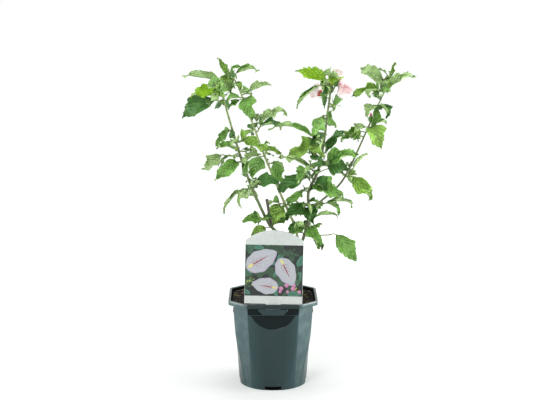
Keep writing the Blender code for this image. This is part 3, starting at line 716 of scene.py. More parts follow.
def pot_grid(around):
    """The pot's closed skin from the underside up, over the lip and down to the inner floor.

    Gives the points, and for each the shares of three finishes: the polished one in painted shade,
    the one with painted light, and the dark one of painted shade.
    """
    angle = np.arange(around) * 2 * math.pi / around
    edge = 0.0012
    # The rings lie closest where the notch, the crescent and the ledge begin and end.
    low = np.array([0.0012, 0.003, 0.0055, 0.0066, 0.007, 0.0074, 0.0085])
    steps = np.concatenate((low, np.arange(0.012, 0.121, 0.003), np.arange(0.122, 0.1492, 0.0006),
                            np.arange(0.1492, 0.1528, 0.0003), np.arange(0.1535, 0.1627, 0.0013)))
    rows = [(0, 0, 0), (0, FOOT_RADIUS - 0.004, 0), (0.0004, FOOT_RADIUS - 0.0003, 0)]
    rows += [(z, wall_half(z), squareness(z)) for z in steps]
    rows += [(UNDER_LIP - 0.0012, wall_half(UNDER_LIP), 1), (UNDER_LIP, LIP_HALF - 0.0022, 1),
             (UNDER_LIP + 0.0005, LIP_HALF - 0.0006, 1), (UNDER_LIP + edge, LIP_HALF, 1),
             (POT_HEIGHT - edge, LIP_HALF, 1), (POT_HEIGHT - 0.0003, LIP_HALF - 0.0003, 1),
             (POT_HEIGHT, LIP_HALF - edge, 1), (POT_HEIGHT, LIP_HALF - RIM_WIDTH + edge, 1),
             (POT_HEIGHT - 0.0004, LIP_HALF - RIM_WIDTH + 0.0003, 1)]
    inner = [(POT_HEIGHT - edge, LIP_HALF - RIM_WIDTH, 1),
             (UNDER_LIP - 0.004, wall_half(UNDER_LIP) - WALL, 1)]
    inner += [(z, wall_half(z) - WALL, squareness(z)) for z in (0.115, 0.09, 0.06, 0.03, FLOOR)]
    inner.append((FLOOR, 0, 0))
    rows += inner
    z, half, square = (np.array(column)[:, None] for column in zip(*rows))
    grid = ring_points(np.broadcast_to(angle, (len(rows), around)), z, half, square)
    radius = np.hypot(grid[..., 0], grid[..., 1])
    outer = (np.arange(len(rows)) < 3 + len(steps))[:, None] & (half > 0)
    relief, shares = wall_relief(angle[None], z, radius)
    moved = radius + np.where(outer, relief, 0)
    scale = np.where(radius > 0, moved / np.maximum(radius, 1e-9), 1)
    grid[..., :2] *= scale[..., None]
    lip = (z > UNDER_LIP) | outer
    shares = np.where(lip[..., None], shares, 0)
    # The rim's top takes the finish with painted light: dust and a painted highlight.
    shares[..., 1] = np.where(z > POT_HEIGHT - 0.0005, 1.0, shares[..., 1])
    shares[..., [0, 2]] = np.where(outer[..., None], shares[..., [0, 2]], 0)
    # The inner wall takes the dark finish, which is painted shade.
    shares[-len(inner):, :, 2] = 1
    return grid, shares


def rounded_bar(width_low, width_high, height, thick, corner):
    """A bar along X that widens upwards: rings of a rounded rectangle, smaller at both ends.

    The rectangle is a circle whose cosine and sine are raised to a low power.
    """
    angle = np.linspace(0, 2 * math.pi, 40, endpoint=False)
    power = 0.35
    depth = np.sign(np.cos(angle)) * np.abs(np.cos(angle)) ** power * thick / 2
    level = np.sign(np.sin(angle)) * np.abs(np.sin(angle)) ** power * height / 2
    along = np.array([-1, -1, -1 + corner, -1 + 2.2 * corner, 0,
                      1 - 2.2 * corner, 1 - corner, 1, 1])
    full = np.array([0, 0.72, 0.94, 1, 1, 1, 0.94, 0.72, 0])
    half = (width_low + (width_high - width_low) * (level / height + 0.5)) / 2
    x = along[:, None] * half[None]
    return np.stack((x, full[:, None] * depth[None], full[:, None] * level[None]), -1)


def mix_height(x, y):
    """A low mound, highest in the middle, plus lumps of a few millimetres."""
    flat = np.stack((x, y), -1)
    mound = 0.0016 * (1 - np.clip((x * x + y * y) / 0.075 ** 2, 0, 1))
    return MIX_TOP - 0.0018 + mound + 0.0009 * ripples(flat, 0.014, 3, octaves=5)


def mix_grid(around, rings):
    """The filled inside: a lumpy top on polar rings, then plain sides and floor."""
    angle = np.arange(around) * 2 * math.pi / around
    share = np.linspace(0, 1, rings)[:, None]
    top = ring_points(np.broadcast_to(angle, (rings, around)), 0, MIX_HALF * share, 1.0)
    top[..., 2] = mix_height(top[..., 0], top[..., 1])
    lower = []
    for z in (0.159, 0.115, 0.09, 0.06, 0.03, FLOOR + SPACE):
        lower.append(ring_points(angle[None], z, wall_half(z) - WALL - 0.0005, squareness(z)))
    lower.append(np.repeat([[[0, 0, FLOOR + SPACE]]], around, axis=1))
    return np.concatenate([top] + lower)


def scattered(draw, count, room):
    """Random places on the mix, even over the eight-sided opening."""
    angle = draw.uniform(0, 2 * math.pi, count)
    half = (MIX_HALF - room) * np.sqrt(draw.uniform(0.01, 1, count))
    radius = half * rounded_octagon(angle)
    return radius * np.cos(angle), radius * np.sin(angle)


def chip_grids(draw, count, lengths, slim):
    """Loose chips: a ring of four points at each of six stations, tapered at both ends.

    Each chip bows sideways by the square of the way along, is tipped a little, turned about Z
    and laid on the mix.
    """
    x, y = scattered(draw, count, 0.004)
    length = draw.uniform(*lengths, count)
    width = length * draw.uniform(slim[0], slim[1], count)
    thick = width * draw.uniform(0.3, 0.6, count)
    station = np.array([-1, -0.98, -0.3, 0.4, 0.97, 1]) / 2
    full = np.array([0, 0.55, 1, 0.9, 0.4, 0])
    corner = np.array([[-1, -1], [1, -1], [1, 1], [-1, 1]]) / 2
    local = np.zeros((count, 6, 4, 3))
    local[..., 0] = station[None, :, None] * length[:, None, None]
    local[..., 1] = full[None, :, None] * corner[None, None, :, 0] * width[:, None, None]
    local[..., 2] = full[None, :, None] * corner[None, None, :, 1] * thick[:, None, None]
    local[..., 1] += (station[None, :, None] ** 2) * length[:, None, None] * draw.uniform(
        -0.5, 0.5, count)[:, None, None]
    turn = draw.uniform(0, 2 * math.pi, count)[:, None, None]
    tip = draw.uniform(-0.35, 0.35, count)[:, None, None]
    raised = local[..., 0] * np.sin(tip) + local[..., 2] * np.cos(tip)
    ahead = local[..., 0] * np.cos(tip) - local[..., 2] * np.sin(tip)
    grid = np.empty_like(local)
    grid[..., 0] = x[:, None, None] + ahead * np.cos(turn) - local[..., 1] * np.sin(turn)
    grid[..., 1] = y[:, None, None] + ahead * np.sin(turn) + local[..., 1] * np.cos(turn)
    floor = mix_height(x, y)[:, None, None]
    grid[..., 2] = floor + raised + thick[:, None, None] * 0.4
    return grid


def card_point(across, height, out):
    """A point on the label, from its lower middle, leaned by the label's angle."""
    x = across * math.cos(LABEL_LEAN) + height * math.sin(LABEL_LEAN)
    z = -across * math.sin(LABEL_LEAN) + height * math.cos(LABEL_LEAN)
    lift = LABEL_WIDTH / 2 * math.sin(LABEL_LEAN) + SPACE
    return np.stack((x, LABEL_Y - out + 0 * x, POT_HEIGHT + lift + z), -1)


def card_outline():
    """Round the label: straight sides, an arc of a circle across the top and the tongue below.

    Points are added so that no two neighbours are more than 3 mm apart.
    """
    half = LABEL_WIDTH / 2
    radius = (half * half + LABEL_ARCH * LABEL_ARCH) / (2 * LABEL_ARCH)
    reach = math.asin(half / radius)
    swing = np.linspace(reach, -reach, 61)
    arc = np.stack((radius * np.sin(swing),
                    LABEL_SIDE + LABEL_ARCH - radius + radius * np.cos(swing)), -1)
    tongue = TONGUE[0] / 2
    foot = np.array([(-half, 0), (-tongue, 0), (-tongue + 0.001, -TONGUE[1]),
                     (tongue - 0.001, -TONGUE[1]), (tongue, 0), (half, 0)])
    closed = np.concatenate((foot, arc, foot[:1]))
    way = path_lengths(closed)
    wanted = np.unique(np.concatenate((way[:-1], np.arange(0, way[-1], 0.003))))
    return np.stack([np.interp(wanted, way, closed[:, k]) for k in (0, 1)], -1)


def card_grid():
    """Rings from the middle of the face, over a fine rounded edge, to the middle of the back."""
    outline = card_outline()
    middle = np.array([0, LABEL_SIDE / 2])
    inward = unit(middle - outline)
    face = LABEL_THICK / 2
    rings = []
    for inset, out in ((None, face), (0.0003, face), (0.0, face * 0.5), (0.0, -face * 0.5),
                       (0.0003, -face), (None, -face)):
        flat = np.broadcast_to(middle, outline.shape) if inset is None else (
            outline + inward * inset)
        rings.append(card_point(flat[:, 0], flat[:, 1], out))
    return np.stack(rings)


def print_grid(kind, centre, size, turn, layer):
    """A flat printed shape: rings from its middle to its outline, kept within the picture.

    A leaf's half width is a share of its half length times sin t |sin t|^0.3, less towards its
    tip. A broad one's margin waves by the sine of 9 t. A berry is a circle.
    """
    t = np.linspace(0, 2 * math.pi, 41)
    if kind == "berry":
        along, across = np.cos(t), np.sin(t)
    else:
        along = -np.cos(t)
        across = np.sin(t) * np.abs(np.sin(t)) ** 0.3 * PRINT_SLIM[kind] * (1 - 0.25 * along)
        if kind == "broad":
            across = across * (1 + 0.05 * np.sin(9 * t + 40 * size))
    share = np.array([0, 0.5, 1])[:, None]
    x = centre[0] + share * size * (along * math.cos(turn) - across * math.sin(turn))
    z = centre[1] + share * size * (along * math.sin(turn) + across * math.cos(turn))
    x = np.clip(x, -PICTURE_HALF, PICTURE_HALF)
    z = np.clip(z, *PICTURE)
    return card_point(x, z, LABEL_THICK / 2 + PRINT_STEP * (layer + 1))


def pale_leaf(centre, size, turn, level):
    """A printed variegated leaf: lilac shadow, pale blade, crimson ribs and a yellow foot."""
    ahead = np.array([math.cos(turn), math.sin(turn)])
    side = np.array([-ahead[1], ahead[0]])
    middle = np.array(centre)
    shapes = [("broad", "lilac", middle - side * size * 0.05, size * 1.04, turn, level),
              ("broad", "white", middle, size, turn, level + 1),
              ("rib", "crimson", middle - ahead * size * 0.22, size * 0.7, turn, level + 2)]
    for k in range(3):
        for way in (-1, 1):
            foot = middle + ahead * size * (0.26 * k - 0.62)
            angle = turn + way * 0.75
            half = size * (0.22 - 0.035 * k)
            away = np.array([math.cos(angle), math.sin(angle)]) * half
            shapes.append(("rib", "crimson", foot + away, half, angle, level + 2))
    shapes.append(("leaf", "yellow", middle - ahead * size * 0.72, size * 0.2, turn, level + 3))
    return shapes


def picture_shapes(draw):
    """Plain green leaves all over, three large pale ones across them and round berries.

    Gives the kind, ink, centre, size, turn and layer of each printed shape.
    """
    shapes = []
    for k in range(60):
        centre = (draw.uniform(-0.052, 0.052), draw.uniform(0.018, 0.11))
        ink, rib = (("green", "pale_green"), ("dark_green", "green"), ("pale_green", "teal"),
                    ("teal", "green"))[k % 4]
        size, turn = draw.uniform(0.008, 0.016), draw.uniform(0, 2 * math.pi)
        shapes.append(("leaf", ink, centre, size, turn, 1 + k * 0.15))
        shapes.append(("rib", rib, centre, size * 0.8, turn, 1.07 + k * 0.15))
    for k in range(24):
        middle = ((-0.044, 0.044), (0.04, 0.098), (0.042, 0.03))[k % 3]
        away = draw.uniform(-0.008, 0.008, 2)
        ink = ("lime", "pale_green", "lime")[k % 3]
        shapes.append(("berry", ink, (middle[0] + away[0], middle[1] + away[1]),
                       draw.uniform(0.0009, 0.0021), 0.0, 10.2 + k * 0.05))
    shapes += pale_leaf((-0.024, 0.084), 0.031, 0.55, 12)
    shapes += pale_leaf((0.024, 0.062), 0.028, -1.1, 17)
    shapes += pale_leaf((-0.016, 0.034), 0.024, 3.0, 22)
    for k in range(7):
        centre = (0.012 + 0.006 * k - 0.004 * (k % 2), 0.024 + 0.006 * (k % 3))
        size = draw.uniform(0.0028, 0.0042)
        shine = (centre[0] - size * 0.3, centre[1] + size * 0.35)
        shapes.append(("berry", "pink", centre, size, 0.0, 27 + k))
        shapes.append(("berry", "white", shine, size * 0.3, 0.0, 27.5 + k))
    return shapes


# Bark


def smooth_path(points, steps):
    """Catmull-Rom curve through the points, with equal steps between each two."""
    pts = np.array(points, float)
    ends = np.vstack((2 * pts[0] - pts[1], pts, 2 * pts[-1] - pts[-2]))
    t = np.linspace(0, 1, steps, endpoint=False)[:, None]
    runs = []
    for a, b, c, d in zip(ends, ends[1:], ends[2:], ends[3:]):
        runs.append(0.5 * (2 * b + (c - a) * t + (2 * a - 5 * b + 4 * c - d) * t ** 2
                           + (3 * b - a - 3 * c + d) * t ** 3))
    return np.vstack(runs + [pts[-1:]])


def path_lengths(path):
    """The way from the first point to each point of a path."""
    return np.concatenate(([0], np.cumsum(np.linalg.norm(np.diff(path, axis=0), axis=1))))


class Limb:
    """A tapering limb: its path and the radius along it, in metres."""

    def __init__(self, way, foot, tip):
        self.path = smooth_path(way, PATH_STEPS) * MM
        share = path_lengths(self.path)
        share /= share[-1]
        self.radii = (foot + (tip - foot) * share) * MM

    def at_height(self, height):
        """Centre, direction and radius at a height, and whether that is the tip or past it."""
        z = self.path[:, 2]
        if height >= z[-1]:
            along = Vector(self.path[-1] - self.path[-2]).normalized()
            return Vector(self.path[-1]), along, self.radii[-1], True
        after = int(np.argmax(z > height))
        share = (height - z[after - 1]) / (z[after] - z[after - 1])
        centre = self.path[after - 1] * (1 - share) + self.path[after] * share
        along = Vector(self.path[after] - self.path[after - 1]).normalized()
        return Vector(centre), along, float(np.interp(height, z, self.radii)), False


LIMB_OF = {name: Limb(*row) for name, row in LIMBS.items()}


def bark_grid(name, seed, sides, swelling):
    """A limb's skin: rings every 1.5 mm, long ridges, and a knuckle where each spray stands.

    The radius is multiplied by 1 + ridges + knuckles, a knuckle being a bell curve of height.
    It swells towards its foot by an exponential of the way along.
    """
    trunk = name == "trunk"
    way, foot, tip = TRUNK if trunk else LIMBS[name]
    coarse = smooth_path(way, 8) * MM
    lengths = path_lengths(coarse)
    at = np.linspace(0, lengths[-1], int(lengths[-1] / 0.0015) + 2)
    path = np.stack([np.interp(at, lengths, coarse[:, k]) for k in range(3)], -1)
    share = at / at[-1]
    radii = (foot + (tip - foot) * share) * MM
    if trunk:
        path[0, 2] -= ROOT_DEPTH
    else:
        slim = STUB_SLIM if name == "cut_stub" else SLIM[0]
        radii = radii * (slim + (SLIM[1] - slim) * share)
    reach = FLARE_REACH if trunk else SWELL_REACH
    radii = radii * (1 + swelling * np.exp(-at / (reach * MM)))
    angle = np.arange(sides) * 2 * math.pi / sides
    # Lumps on a drum that is drawn out along the limb, so that they become long ridges
    where = np.stack(np.broadcast_arrays(
        np.cos(angle)[None] * 0.006, np.sin(angle)[None] * 0.006, at[:, None] * 0.12), -1)
    relief = 1 + 0.035 * ripples(where, 0.006, seed, octaves=4)
    relief += 0.02 * ripples(where * [1, 1, 6], 0.007, seed + 1, octaves=2)
    for row in SPRAYS.get(name, ()):
        bell = np.exp(-((path[:, 2] - row[0] * MM) / 0.0022) ** 2)
        relief += 0.16 * bell[:, None]
    return tube_grid(path, radii, sides, relief)


# Leaves, buds and blooms


def heading(azimuth, pitch):
    """The direction that azimuth and pitch give, in degrees."""
    a, p = math.radians(azimuth), math.radians(pitch)
    return Vector((math.cos(p) * math.cos(a), math.cos(p) * math.sin(a), math.sin(p)))


def frame_at(origin, ahead, face):
    """A frame whose X runs ahead and whose Z is as near as it can be to the face's direction."""
    up = (face - ahead * face.dot(ahead)).normalized()
    side = up.cross(ahead)
    turn = Matrix((ahead, side, up)).transposed().to_4x4()
    return Matrix.Translation(origin) @ turn


def stalk_points(start, first, ahead, length):
    """Leaves its bearer at a right angle, then turns to the heading."""
    elbow = start + first * min(length * 0.3, 3 * MM)
    return [start, elbow, elbow + ahead * length * 0.75]


def marks(kind, size):
    """Points that the solid's corners lie at or close to, in the leaf's or flower's own frame."""
    lifts = (0.4, -0.4) if kind == "bloom" else (0,)
    return [Vector((size, 0, lift * size)) for lift in lifts]


# A leaf, bud or bloom on a spray: the stem point it stands on is its root, wave tells how it
# ripples, and lead is true for the first of its spray.
Growth = namedtuple("Growth", "kind size place root wave lead")


def solid_points(name):
    """The corners of one of the solids, as rows of three."""
    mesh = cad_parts[name].data
    points = np.empty(len(mesh.vertices) * 3, np.float32)
    mesh.vertices.foreach_get("co", points)
    return points.reshape(-1, 3)


def grow_spray(cane, number, row):
    """The source's rule: the stem's path, and what stands on it where the solid has it too.

    The first leads on from the stem's end. The others stand along the stem, turned to either
    side by the row's angle. One that the solid left out for want of room is left out here, which
    shows in that none of the solid's corners is near where its tip would be.
    """
    height, azimuth, pitch, facing, stalk, blade, shape, leaves, turn = row
    rng = random.Random(f"{cane} {number}")
    solid = solid_points(f"foliage_{cane}_{number}")
    stalk, blade = stalk * MM, blade * MM
    centre, along, radius, at_tip = LIMB_OF[cane].at_height(height * MM)
    rise = 0.35 * pitch + 20
    ahead = heading(azimuth, rise)
    out = along if at_tip else (ahead - along * ahead.dot(along)).normalized()
    start = centre + out * (SPACE if at_tip else radius + SPACE)
    path = stalk_points(start, out, ahead, stalk)
    flowering = shape in ("bud", "bloom")
    later = blade * BESIDE if flowering else blade
    dip = 0 if flowering else 0.4 * pitch
    lean = math.radians(facing)
    grown = []
    for k in range(leaves):
        lead = k == 0
        size = blade if lead else later * rng.uniform(0.62, 0.88)
        tilt = pitch if lead else dip + rng.uniform(-28, 12)
        wave = rng.uniform(-1, 1)
        aside = 0 if lead else turn * ((k + 1) // 2) * (1 if k % 2 else -1) + rng.uniform(-12, 12)
        roll = rng.uniform(-0.9, 0.9)
        root = path[-1] if lead else path[1].lerp(path[2], rng.uniform(0.1, 0.6))
        kind = shape if lead or not flowering else "lobed"
        for swing in TRIES:
            bearing = azimuth + aside + swing
            forward = heading(bearing, tilt)
            foot = root + heading(bearing, rise) * (stalk * 0.25 if lead else LATER_STALK)
            if kind in ("bud", "bloom"):
                place = frame_at(foot, forward, BESIDE_UP)
            else:
                face = Vector((0, -math.sin(lean), math.cos(lean)))
                if not lead:
                    face = Vector((0, 0, 1)) + heading(bearing, 0) * 0.5
                    face += heading(bearing + 90, 0) * roll
                place = frame_at(foot, forward, face)
            near = [np.linalg.norm(solid - np.array(place @ mark), axis=1).min()
                    for mark in marks(kind, size)]
            if max(near) < NEAR:
                grown.append(Growth(kind, size, place, root, wave, lead))
                break
    return [centre] + path, grown


TEETH = 8
TOOTH = {"long": 0.06, "large": 0.028, "small": 0.017}  # how far teeth stand out, by the length
LARGE_LEAF = 0.036
OVER_SOLID = 1.05  # how much longer than its solid a blade is, because it curls
LOW_ON_PLANT = 0.46  # the height under which a spray's stem has two finer twigs
# By shape, the way along the blade and its half width there, as shares of its length
LEAF_HALF = {
    "lobed": ((0, 0.04, 0.12, 0.22, 0.32, 0.39, 0.45, 0.53, 0.66, 0.8, 0.92, 1),
              (0.012, 0.09, 0.22, 0.31, 0.38, 0.41, 0.34, 0.275, 0.215, 0.12, 0.042, 0.003)),
    "long": ((0, 0.06, 0.2, 0.34, 0.44, 0.52, 0.7, 0.86, 1),
             (0.012, 0.08, 0.19, 0.24, 0.26, 0.18, 0.135, 0.055, 0.003)),
    "young": ((0, 0.08, 0.3, 0.42, 0.5, 0.7, 0.88, 1),
              (0.02, 0.1, 0.22, 0.27, 0.18, 0.13, 0.06, 0.003)),
}
# The way along the blade, and how much further ahead its margin is than its midrib there
LEAF_SWEEP = ((0, 0.22, 0.39, 0.46, 0.8, 1), (0, 0.03, 0.11, 0.02, 0.02, 0))


def leaf_outline(kind, tooth, wave, v, draw):
    """The way along a blade, how far its margin runs ahead there, and its half widths.

    The half width runs through the shape's outline, waves by a slow sine and has a forward tooth
    every eighth of the length, uneven from tooth to tooth and from side to side.
    """
    station = np.array([0, 0.42, 0.8])
    along = np.append(((np.arange(TEETH)[:, None] + station) / TEETH).ravel(), 1.0)
    saw = np.append(np.tile([0, 0.5, 1.0], TEETH), 0)
    saw = saw * eased(along, 0.1, 0.24) * (1 - eased(along, 0.88, 1.0))
    sweep = np.interp(along, *LEAF_SWEEP) + 0.02 * saw
    uneven = np.append(np.repeat(draw.uniform(0.3, 1.7, (TEETH, 2)), 3, axis=0), [[1, 1]], axis=0)
    saw = saw[:, None] * np.where(v < 0, uneven[:, :1], uneven[:, 1:])
    half = np.interp(along, *LEAF_HALF[kind])[:, None] * (
        1 + 0.1 * np.sin(5.5 * along[:, None] + np.sign(v) * draw.uniform(0.5, 2.5) + wave))
    return along[:, None], sweep[:, None], half + tooth * saw


def leaf_spine(bend, hook, phase):
    """The way along a midrib of length 1 and a little past it, with x, z and slope there.

    The slope falls evenly by the bend, hooks on past the middle and waves by a sine.
    """
    way = np.linspace(0, 1.2, 121)
    slope = -bend * (way - 0.5) - hook * np.maximum(way - 0.58, 0) ** 1.5 * 2.6
    slope = slope + 0.22 * np.sin(7 * way + phase) * eased(way, 0.15, 0.5)
    step = way[1] - way[0]
    x = np.concatenate(([0], np.cumsum(np.cos(slope[:-1]) * step)))
    z = np.concatenate(([0], np.cumsum(np.sin(slope[:-1]) * step)))
    return way, x, z, slope


def leaf_grid(kind, size, wave, draw, acrosses, form):
    """A toothed blade along +X, its face to +Z, and its UV: U along, V across.

    The midrib turns down by the bend, then hooks on near its tip and swings a little aside.
    Each half leaves the midrib at the fold angle and turns on by v times the margin's turn; it
    ripples more towards the margin and twists about the midrib towards the tip.
    """
    v = np.asarray(acrosses)[None]
    apart = np.abs(v)
    tooth = TOOTH["long" if form == "k" else "large" if size > LARGE_LEAF else "small"]
    u, sweep, half = leaf_outline(kind, tooth, wave, v, draw)
    *curves, slim = FORM_OF[form]
    fold, turn, hook, twist, height = np.array(curves) * draw.uniform(0.65, 1.35, 5)
    half = half * slim
    twist *= draw.choice((-1, 1))
    lean = draw.uniform(-0.22, 0.22)
    swing = draw.uniform(-0.16, 0.16)
    phase = draw.uniform(0, 2 * math.pi, 3)
    way, *spine = leaf_spine(math.radians(BEND[kind]), hook, phase[2])
    reach = u + sweep * apart ** 1.4
    x, z, tilt = (np.interp(reach, way, values) for values in spine)
    side = np.where(v < 0, phase[0], phase[1])
    rise = (fold + turn * apart) * (1 + 0.35 * np.sin(5 * u + side)) + lean * np.sign(v)
    # Broad ripples of the margin, finer ones, a pucker between the side veins and a slow wave
    ripple = height * apart ** 1.6 * np.sin(13 * u + side + 1.1 * apart) * eased(u, 0.04, 0.25)
    ripple = ripple + 0.18 * height * apart * np.sin(27 * u - 2 * side)
    ripple = ripple + 0.009 * apart * np.sin(48 * (u - 0.35 * apart) + side)
    ripple = ripple + 0.03 * wave * v * np.sin(8 * u + 3 * wave)
    wide = v * half * np.cos(rise) - np.sign(v) * ripple * np.sin(rise)
    lift = apart * half * np.sin(rise) + ripple * np.cos(rise)
    roll = twist * eased(u, 0.2, 1.0)
    y = wide * np.cos(roll) - lift * np.sin(roll) + swing * (u * u - 0.3 * u)
    up = wide * np.sin(roll) + lift * np.cos(roll)
    grid = np.stack((x - up * np.sin(tilt), np.broadcast_to(y, x.shape), z + up * np.cos(tilt)), -1)
    uv = np.stack(np.broadcast_arrays(u, 0.5 + v / 2), -1)
    return grid * size * OVER_SOLID, uv


def stalk_grid(start, end, forward, foot_radius, tip_radius, sides=6):
    """A stalk on a curve that reaches its end along the heading: a quadratic in t."""
    start, end, forward = (np.array(v) for v in (start, end, forward))
    far = np.linalg.norm(end - start)
    bow = end - forward * far * 0.45
    t = np.linspace(0, 1, 7)[:, None]
    path = start * (1 - t) ** 2 + bow * 2 * t * (1 - t) + end * t ** 2
    swell = 1 + 0.35 * np.exp(-((t[:, 0] - 1) / 0.12) ** 2) + 0.4 * np.exp(-(t[:, 0] / 0.1) ** 2)
    radii = (foot_radius + (tip_radius - foot_radius) * t[:, 0]) * swell
    return tube_grid(path, radii, sides)


def turned_grid(profile, size, sides, ridges=0.0):
    """A profile of (height, radius) shares turned about +X, with five soft ridges."""
    height, radius = np.array(profile).T
    smooth = np.linspace(0, 1, 22)
    at = np.linspace(0, 1, len(height))
    height, radius = (np.interp(smooth, at, values) for values in (height, radius))
    angle = np.arange(sides) * 2 * math.pi / sides
    reach = radius[:, None] * (1 + ridges * np.cos(5 * angle)[None])
    x = np.broadcast_to(height[:, None], reach.shape)
    return np.stack((x, reach * np.cos(angle), reach * np.sin(angle)), -1) * size


def bract_grid(length, width, flare, angle, lift):
    """A slim pointed strap that leaves the axis sideways and bends forwards.

    Its path is r = flare (1 - (1 - s)^2), x = lift s, its half width tapers to the tip.
    """
    s = np.linspace(0, 1, 7)[:, None]
    v = np.array([-1, 0, 1])[None]
    out = flare * (1 - (1 - s) ** 2)
    half = width * np.sin(np.pi * (0.15 + 0.85 * s)) ** 0.7
    x = lift * s * length + 0 * v
    radial = (0.08 + out) * length + 0 * v
    aside = v * half
    radial = radial + 0.3 * width * np.abs(v)
    y = radial * math.cos(angle) - aside * math.sin(angle)
    z = radial * math.sin(angle) + aside * math.cos(angle)
    return np.stack((x, y, z), -1)


def petal_grid(size, k, opening, draw):
    """One of five petals round +X, each with one edge over its neighbour's.

    The radius grows with s from the claw to the rim, the angle spans v about the petal's own
    and turns a little with s, and the rim is rounded, rippled and, when open, rolled out.
    """
    s = np.linspace(0, 1, 13)[:, None]
    v = np.linspace(-1, 1, 9)[None]
    flare = 0.06 + (0.2 + 0.16 * opening) * s ** (1.3 - 0.4 * opening)
    flare = flare + (0.05 + 0.1 * opening) * s ** 5
    half = 0.25 + 0.66 * eased(s, 0, 0.5)
    angle = 2 * math.pi * k / 5 + v * half + 0.35 * s
    wobble = draw.uniform(0, 2 * math.pi, 2)
    radius = flare + 0.022 * v * s + 0.014 * s ** 3 * np.sin(7 * v + wobble[0])
    x = 0.1 + (0.9 - 0.1 * opening) * s - 0.13 * v ** 2 * s ** 2
    x = x + 0.02 * s ** 4 * np.sin(9 * v + wobble[1])
    grid = np.stack((x + 0 * v, radius * np.cos(angle), radius * np.sin(angle)), -1) * size
    uv = np.stack(np.broadcast_arrays(s, 0.5 + v / 2), -1)
    return grid, uv


# Points across a blade, from margin to margin
WIDE_ACROSS = (-1, -0.8, -0.55, -0.28, 0, 0.28, 0.55, 0.8, 1)
SLIM_ACROSS = (-1, -0.6, 0, 0.6, 1)
# Each tone's upper skin in the list of leaf finishes, which its underside follows
TOP_OF = {"n": 0, "f": 2, "m": 4, "d": 6, "p": 8}
# The tone of some of the leaves beside a leading one
DEEPER = {"n": "f", "f": "m", "m": "d", "d": "d", "p": "m"}
# Profiles as shares of the whole length: the way along and the radius
CALYX = ((0, 0.0), (0.0, 0.1), (0.08, 0.16), (0.22, 0.21), (0.42, 0.225), (0.6, 0.19),
         (0.8, 0.1), (0.95, 0.03), (1, 0))
CUP = ((0, 0.0), (0.0, 0.05), (0.05, 0.1), (0.14, 0.13), (0.26, 0.15), (0.4, 0.19), (0.4, 0.175),
       (0.28, 0.13), (0.16, 0.06), (0.14, 0))
BUD_TIP = ((0.5, 0), (0.6, 0.1), (0.8, 0.11), (0.95, 0.07), (1, 0))
COLUMN = ((0.1, 0.0), (0.1, 0.03), (0.3, 0.03), (0.4, 0.05), (0.5, 0.055), (0.6, 0.05),
          (0.7, 0.025), (0.74, 0.0))


def low_leaf(cane, row, leaves, twigs, draw):
    """A leaf on its own stalk straight off the cane."""
    height, azimuth, pitch, facing, stalk, blade, shape, tone, form = row
    centre, _, radius, _ = LIMB_OF[cane].at_height(height * MM)
    lean = math.radians(facing)
    foot = centre + heading(azimuth, 0.35 * pitch + 20) * (radius + stalk * MM)
    forward = heading(azimuth, pitch)
    place = frame_at(foot, forward, Vector((0, -math.sin(lean), math.cos(lean))))
    grid, uv = leaf_grid(shape, blade * MM, draw.uniform(-1, 1), draw, WIDE_ACROSS, form)
    leaves.add(placed(grid, place), TOP_OF[tone], uv=uv)
    into = foot + forward * blade * MM * 0.015
    twigs.add(stalk_grid(centre, into, forward, STALK_RADIUS * 1.1, STALK_RADIUS * 0.85), wrap=True)


def side_shoot(leaves, twigs, path, toward, tone, draw, blade):
    """One finer twig off a spray's stem, or two low on the plant, each with a small leaf.

    The leaves stay within the spray's own reach and turn away from the leading leaf.
    """
    for k in range(2 if path[0].z < LOW_ON_PLANT else 1):
        root = path[1].lerp(path[2], draw.uniform(0.05, 0.9))
        bearing = toward + 150 + (k - 1) * 75 + draw.uniform(-30, 30)
        ahead = heading(bearing, draw.uniform(-10, 60))
        foot = root + ahead * draw.uniform(0.005, 0.011)
        size = min(blade * draw.uniform(0.34, 0.62), 32) * MM
        face = Vector((0, -0.5, 1)) + heading(bearing, 0) * draw.uniform(0, 0.8)
        place = frame_at(foot, heading(bearing, draw.uniform(-50, 35)), face)
        kind = "lobed" if size > 0.02 else "young"
        grid, uv = leaf_grid(kind, size, draw.uniform(-1, 1), draw, SLIM_ACROSS,
                             "fwwrd"[int(draw.integers(5))])
        shown = tone if draw.random() < 0.6 else DEEPER[tone]
        leaves.add(placed(grid, place), TOP_OF[shown], uv=uv)
        twigs.add(stalk_grid(root, foot, ahead, 0.0006, 0.0004, 5), wrap=True)


def add_bracts(buds, place, length, width, flares, lifts, draw):
    """A ring of seven slim bracts, each with its own flare and lift."""
    for k in range(7):
        angle = 2 * math.pi * k / 7 + draw.uniform(-0.2, 0.2)
        bract = bract_grid(length, width, draw.uniform(*flares), angle, draw.uniform(*lifts))
        buds.add(placed(bract, place), 0)


def add_bud(buds, place, size, draw, tip_out):
    """A ribbed green calyx with slim bracts round it and a little rolled petal at its tip."""
    buds.add(placed(turned_grid(CALYX, size * 0.86, 20, 0.07), place), 0, wrap=True)
    if tip_out:
        buds.add(placed(turned_grid(BUD_TIP, size, 12, 0.12), place), 1, wrap=True)
    add_bracts(buds, place, size, 0.0008, (0.25, 0.4), (0.4, 0.75), draw)


def add_bloom(blooms, buds, place, size, draw, opening, finish):
    """Five petals in a green cup with slim bracts, round a pale column of stamens."""
    for k in range(5):
        grid, uv = petal_grid(size, k, opening, draw)
        blooms.add(placed(grid, place), finish, uv=uv)
    blooms.add(placed(turned_grid(COLUMN, size, 12, 0.1), place), 1, wrap=True)
    buds.add(placed(turned_grid(CUP, size, 20, 0.06), place), 0, wrap=True)
    add_bracts(buds, place, size * 0.5, 0.0009, (0.4, 0.7), (0.3, 0.6), draw)


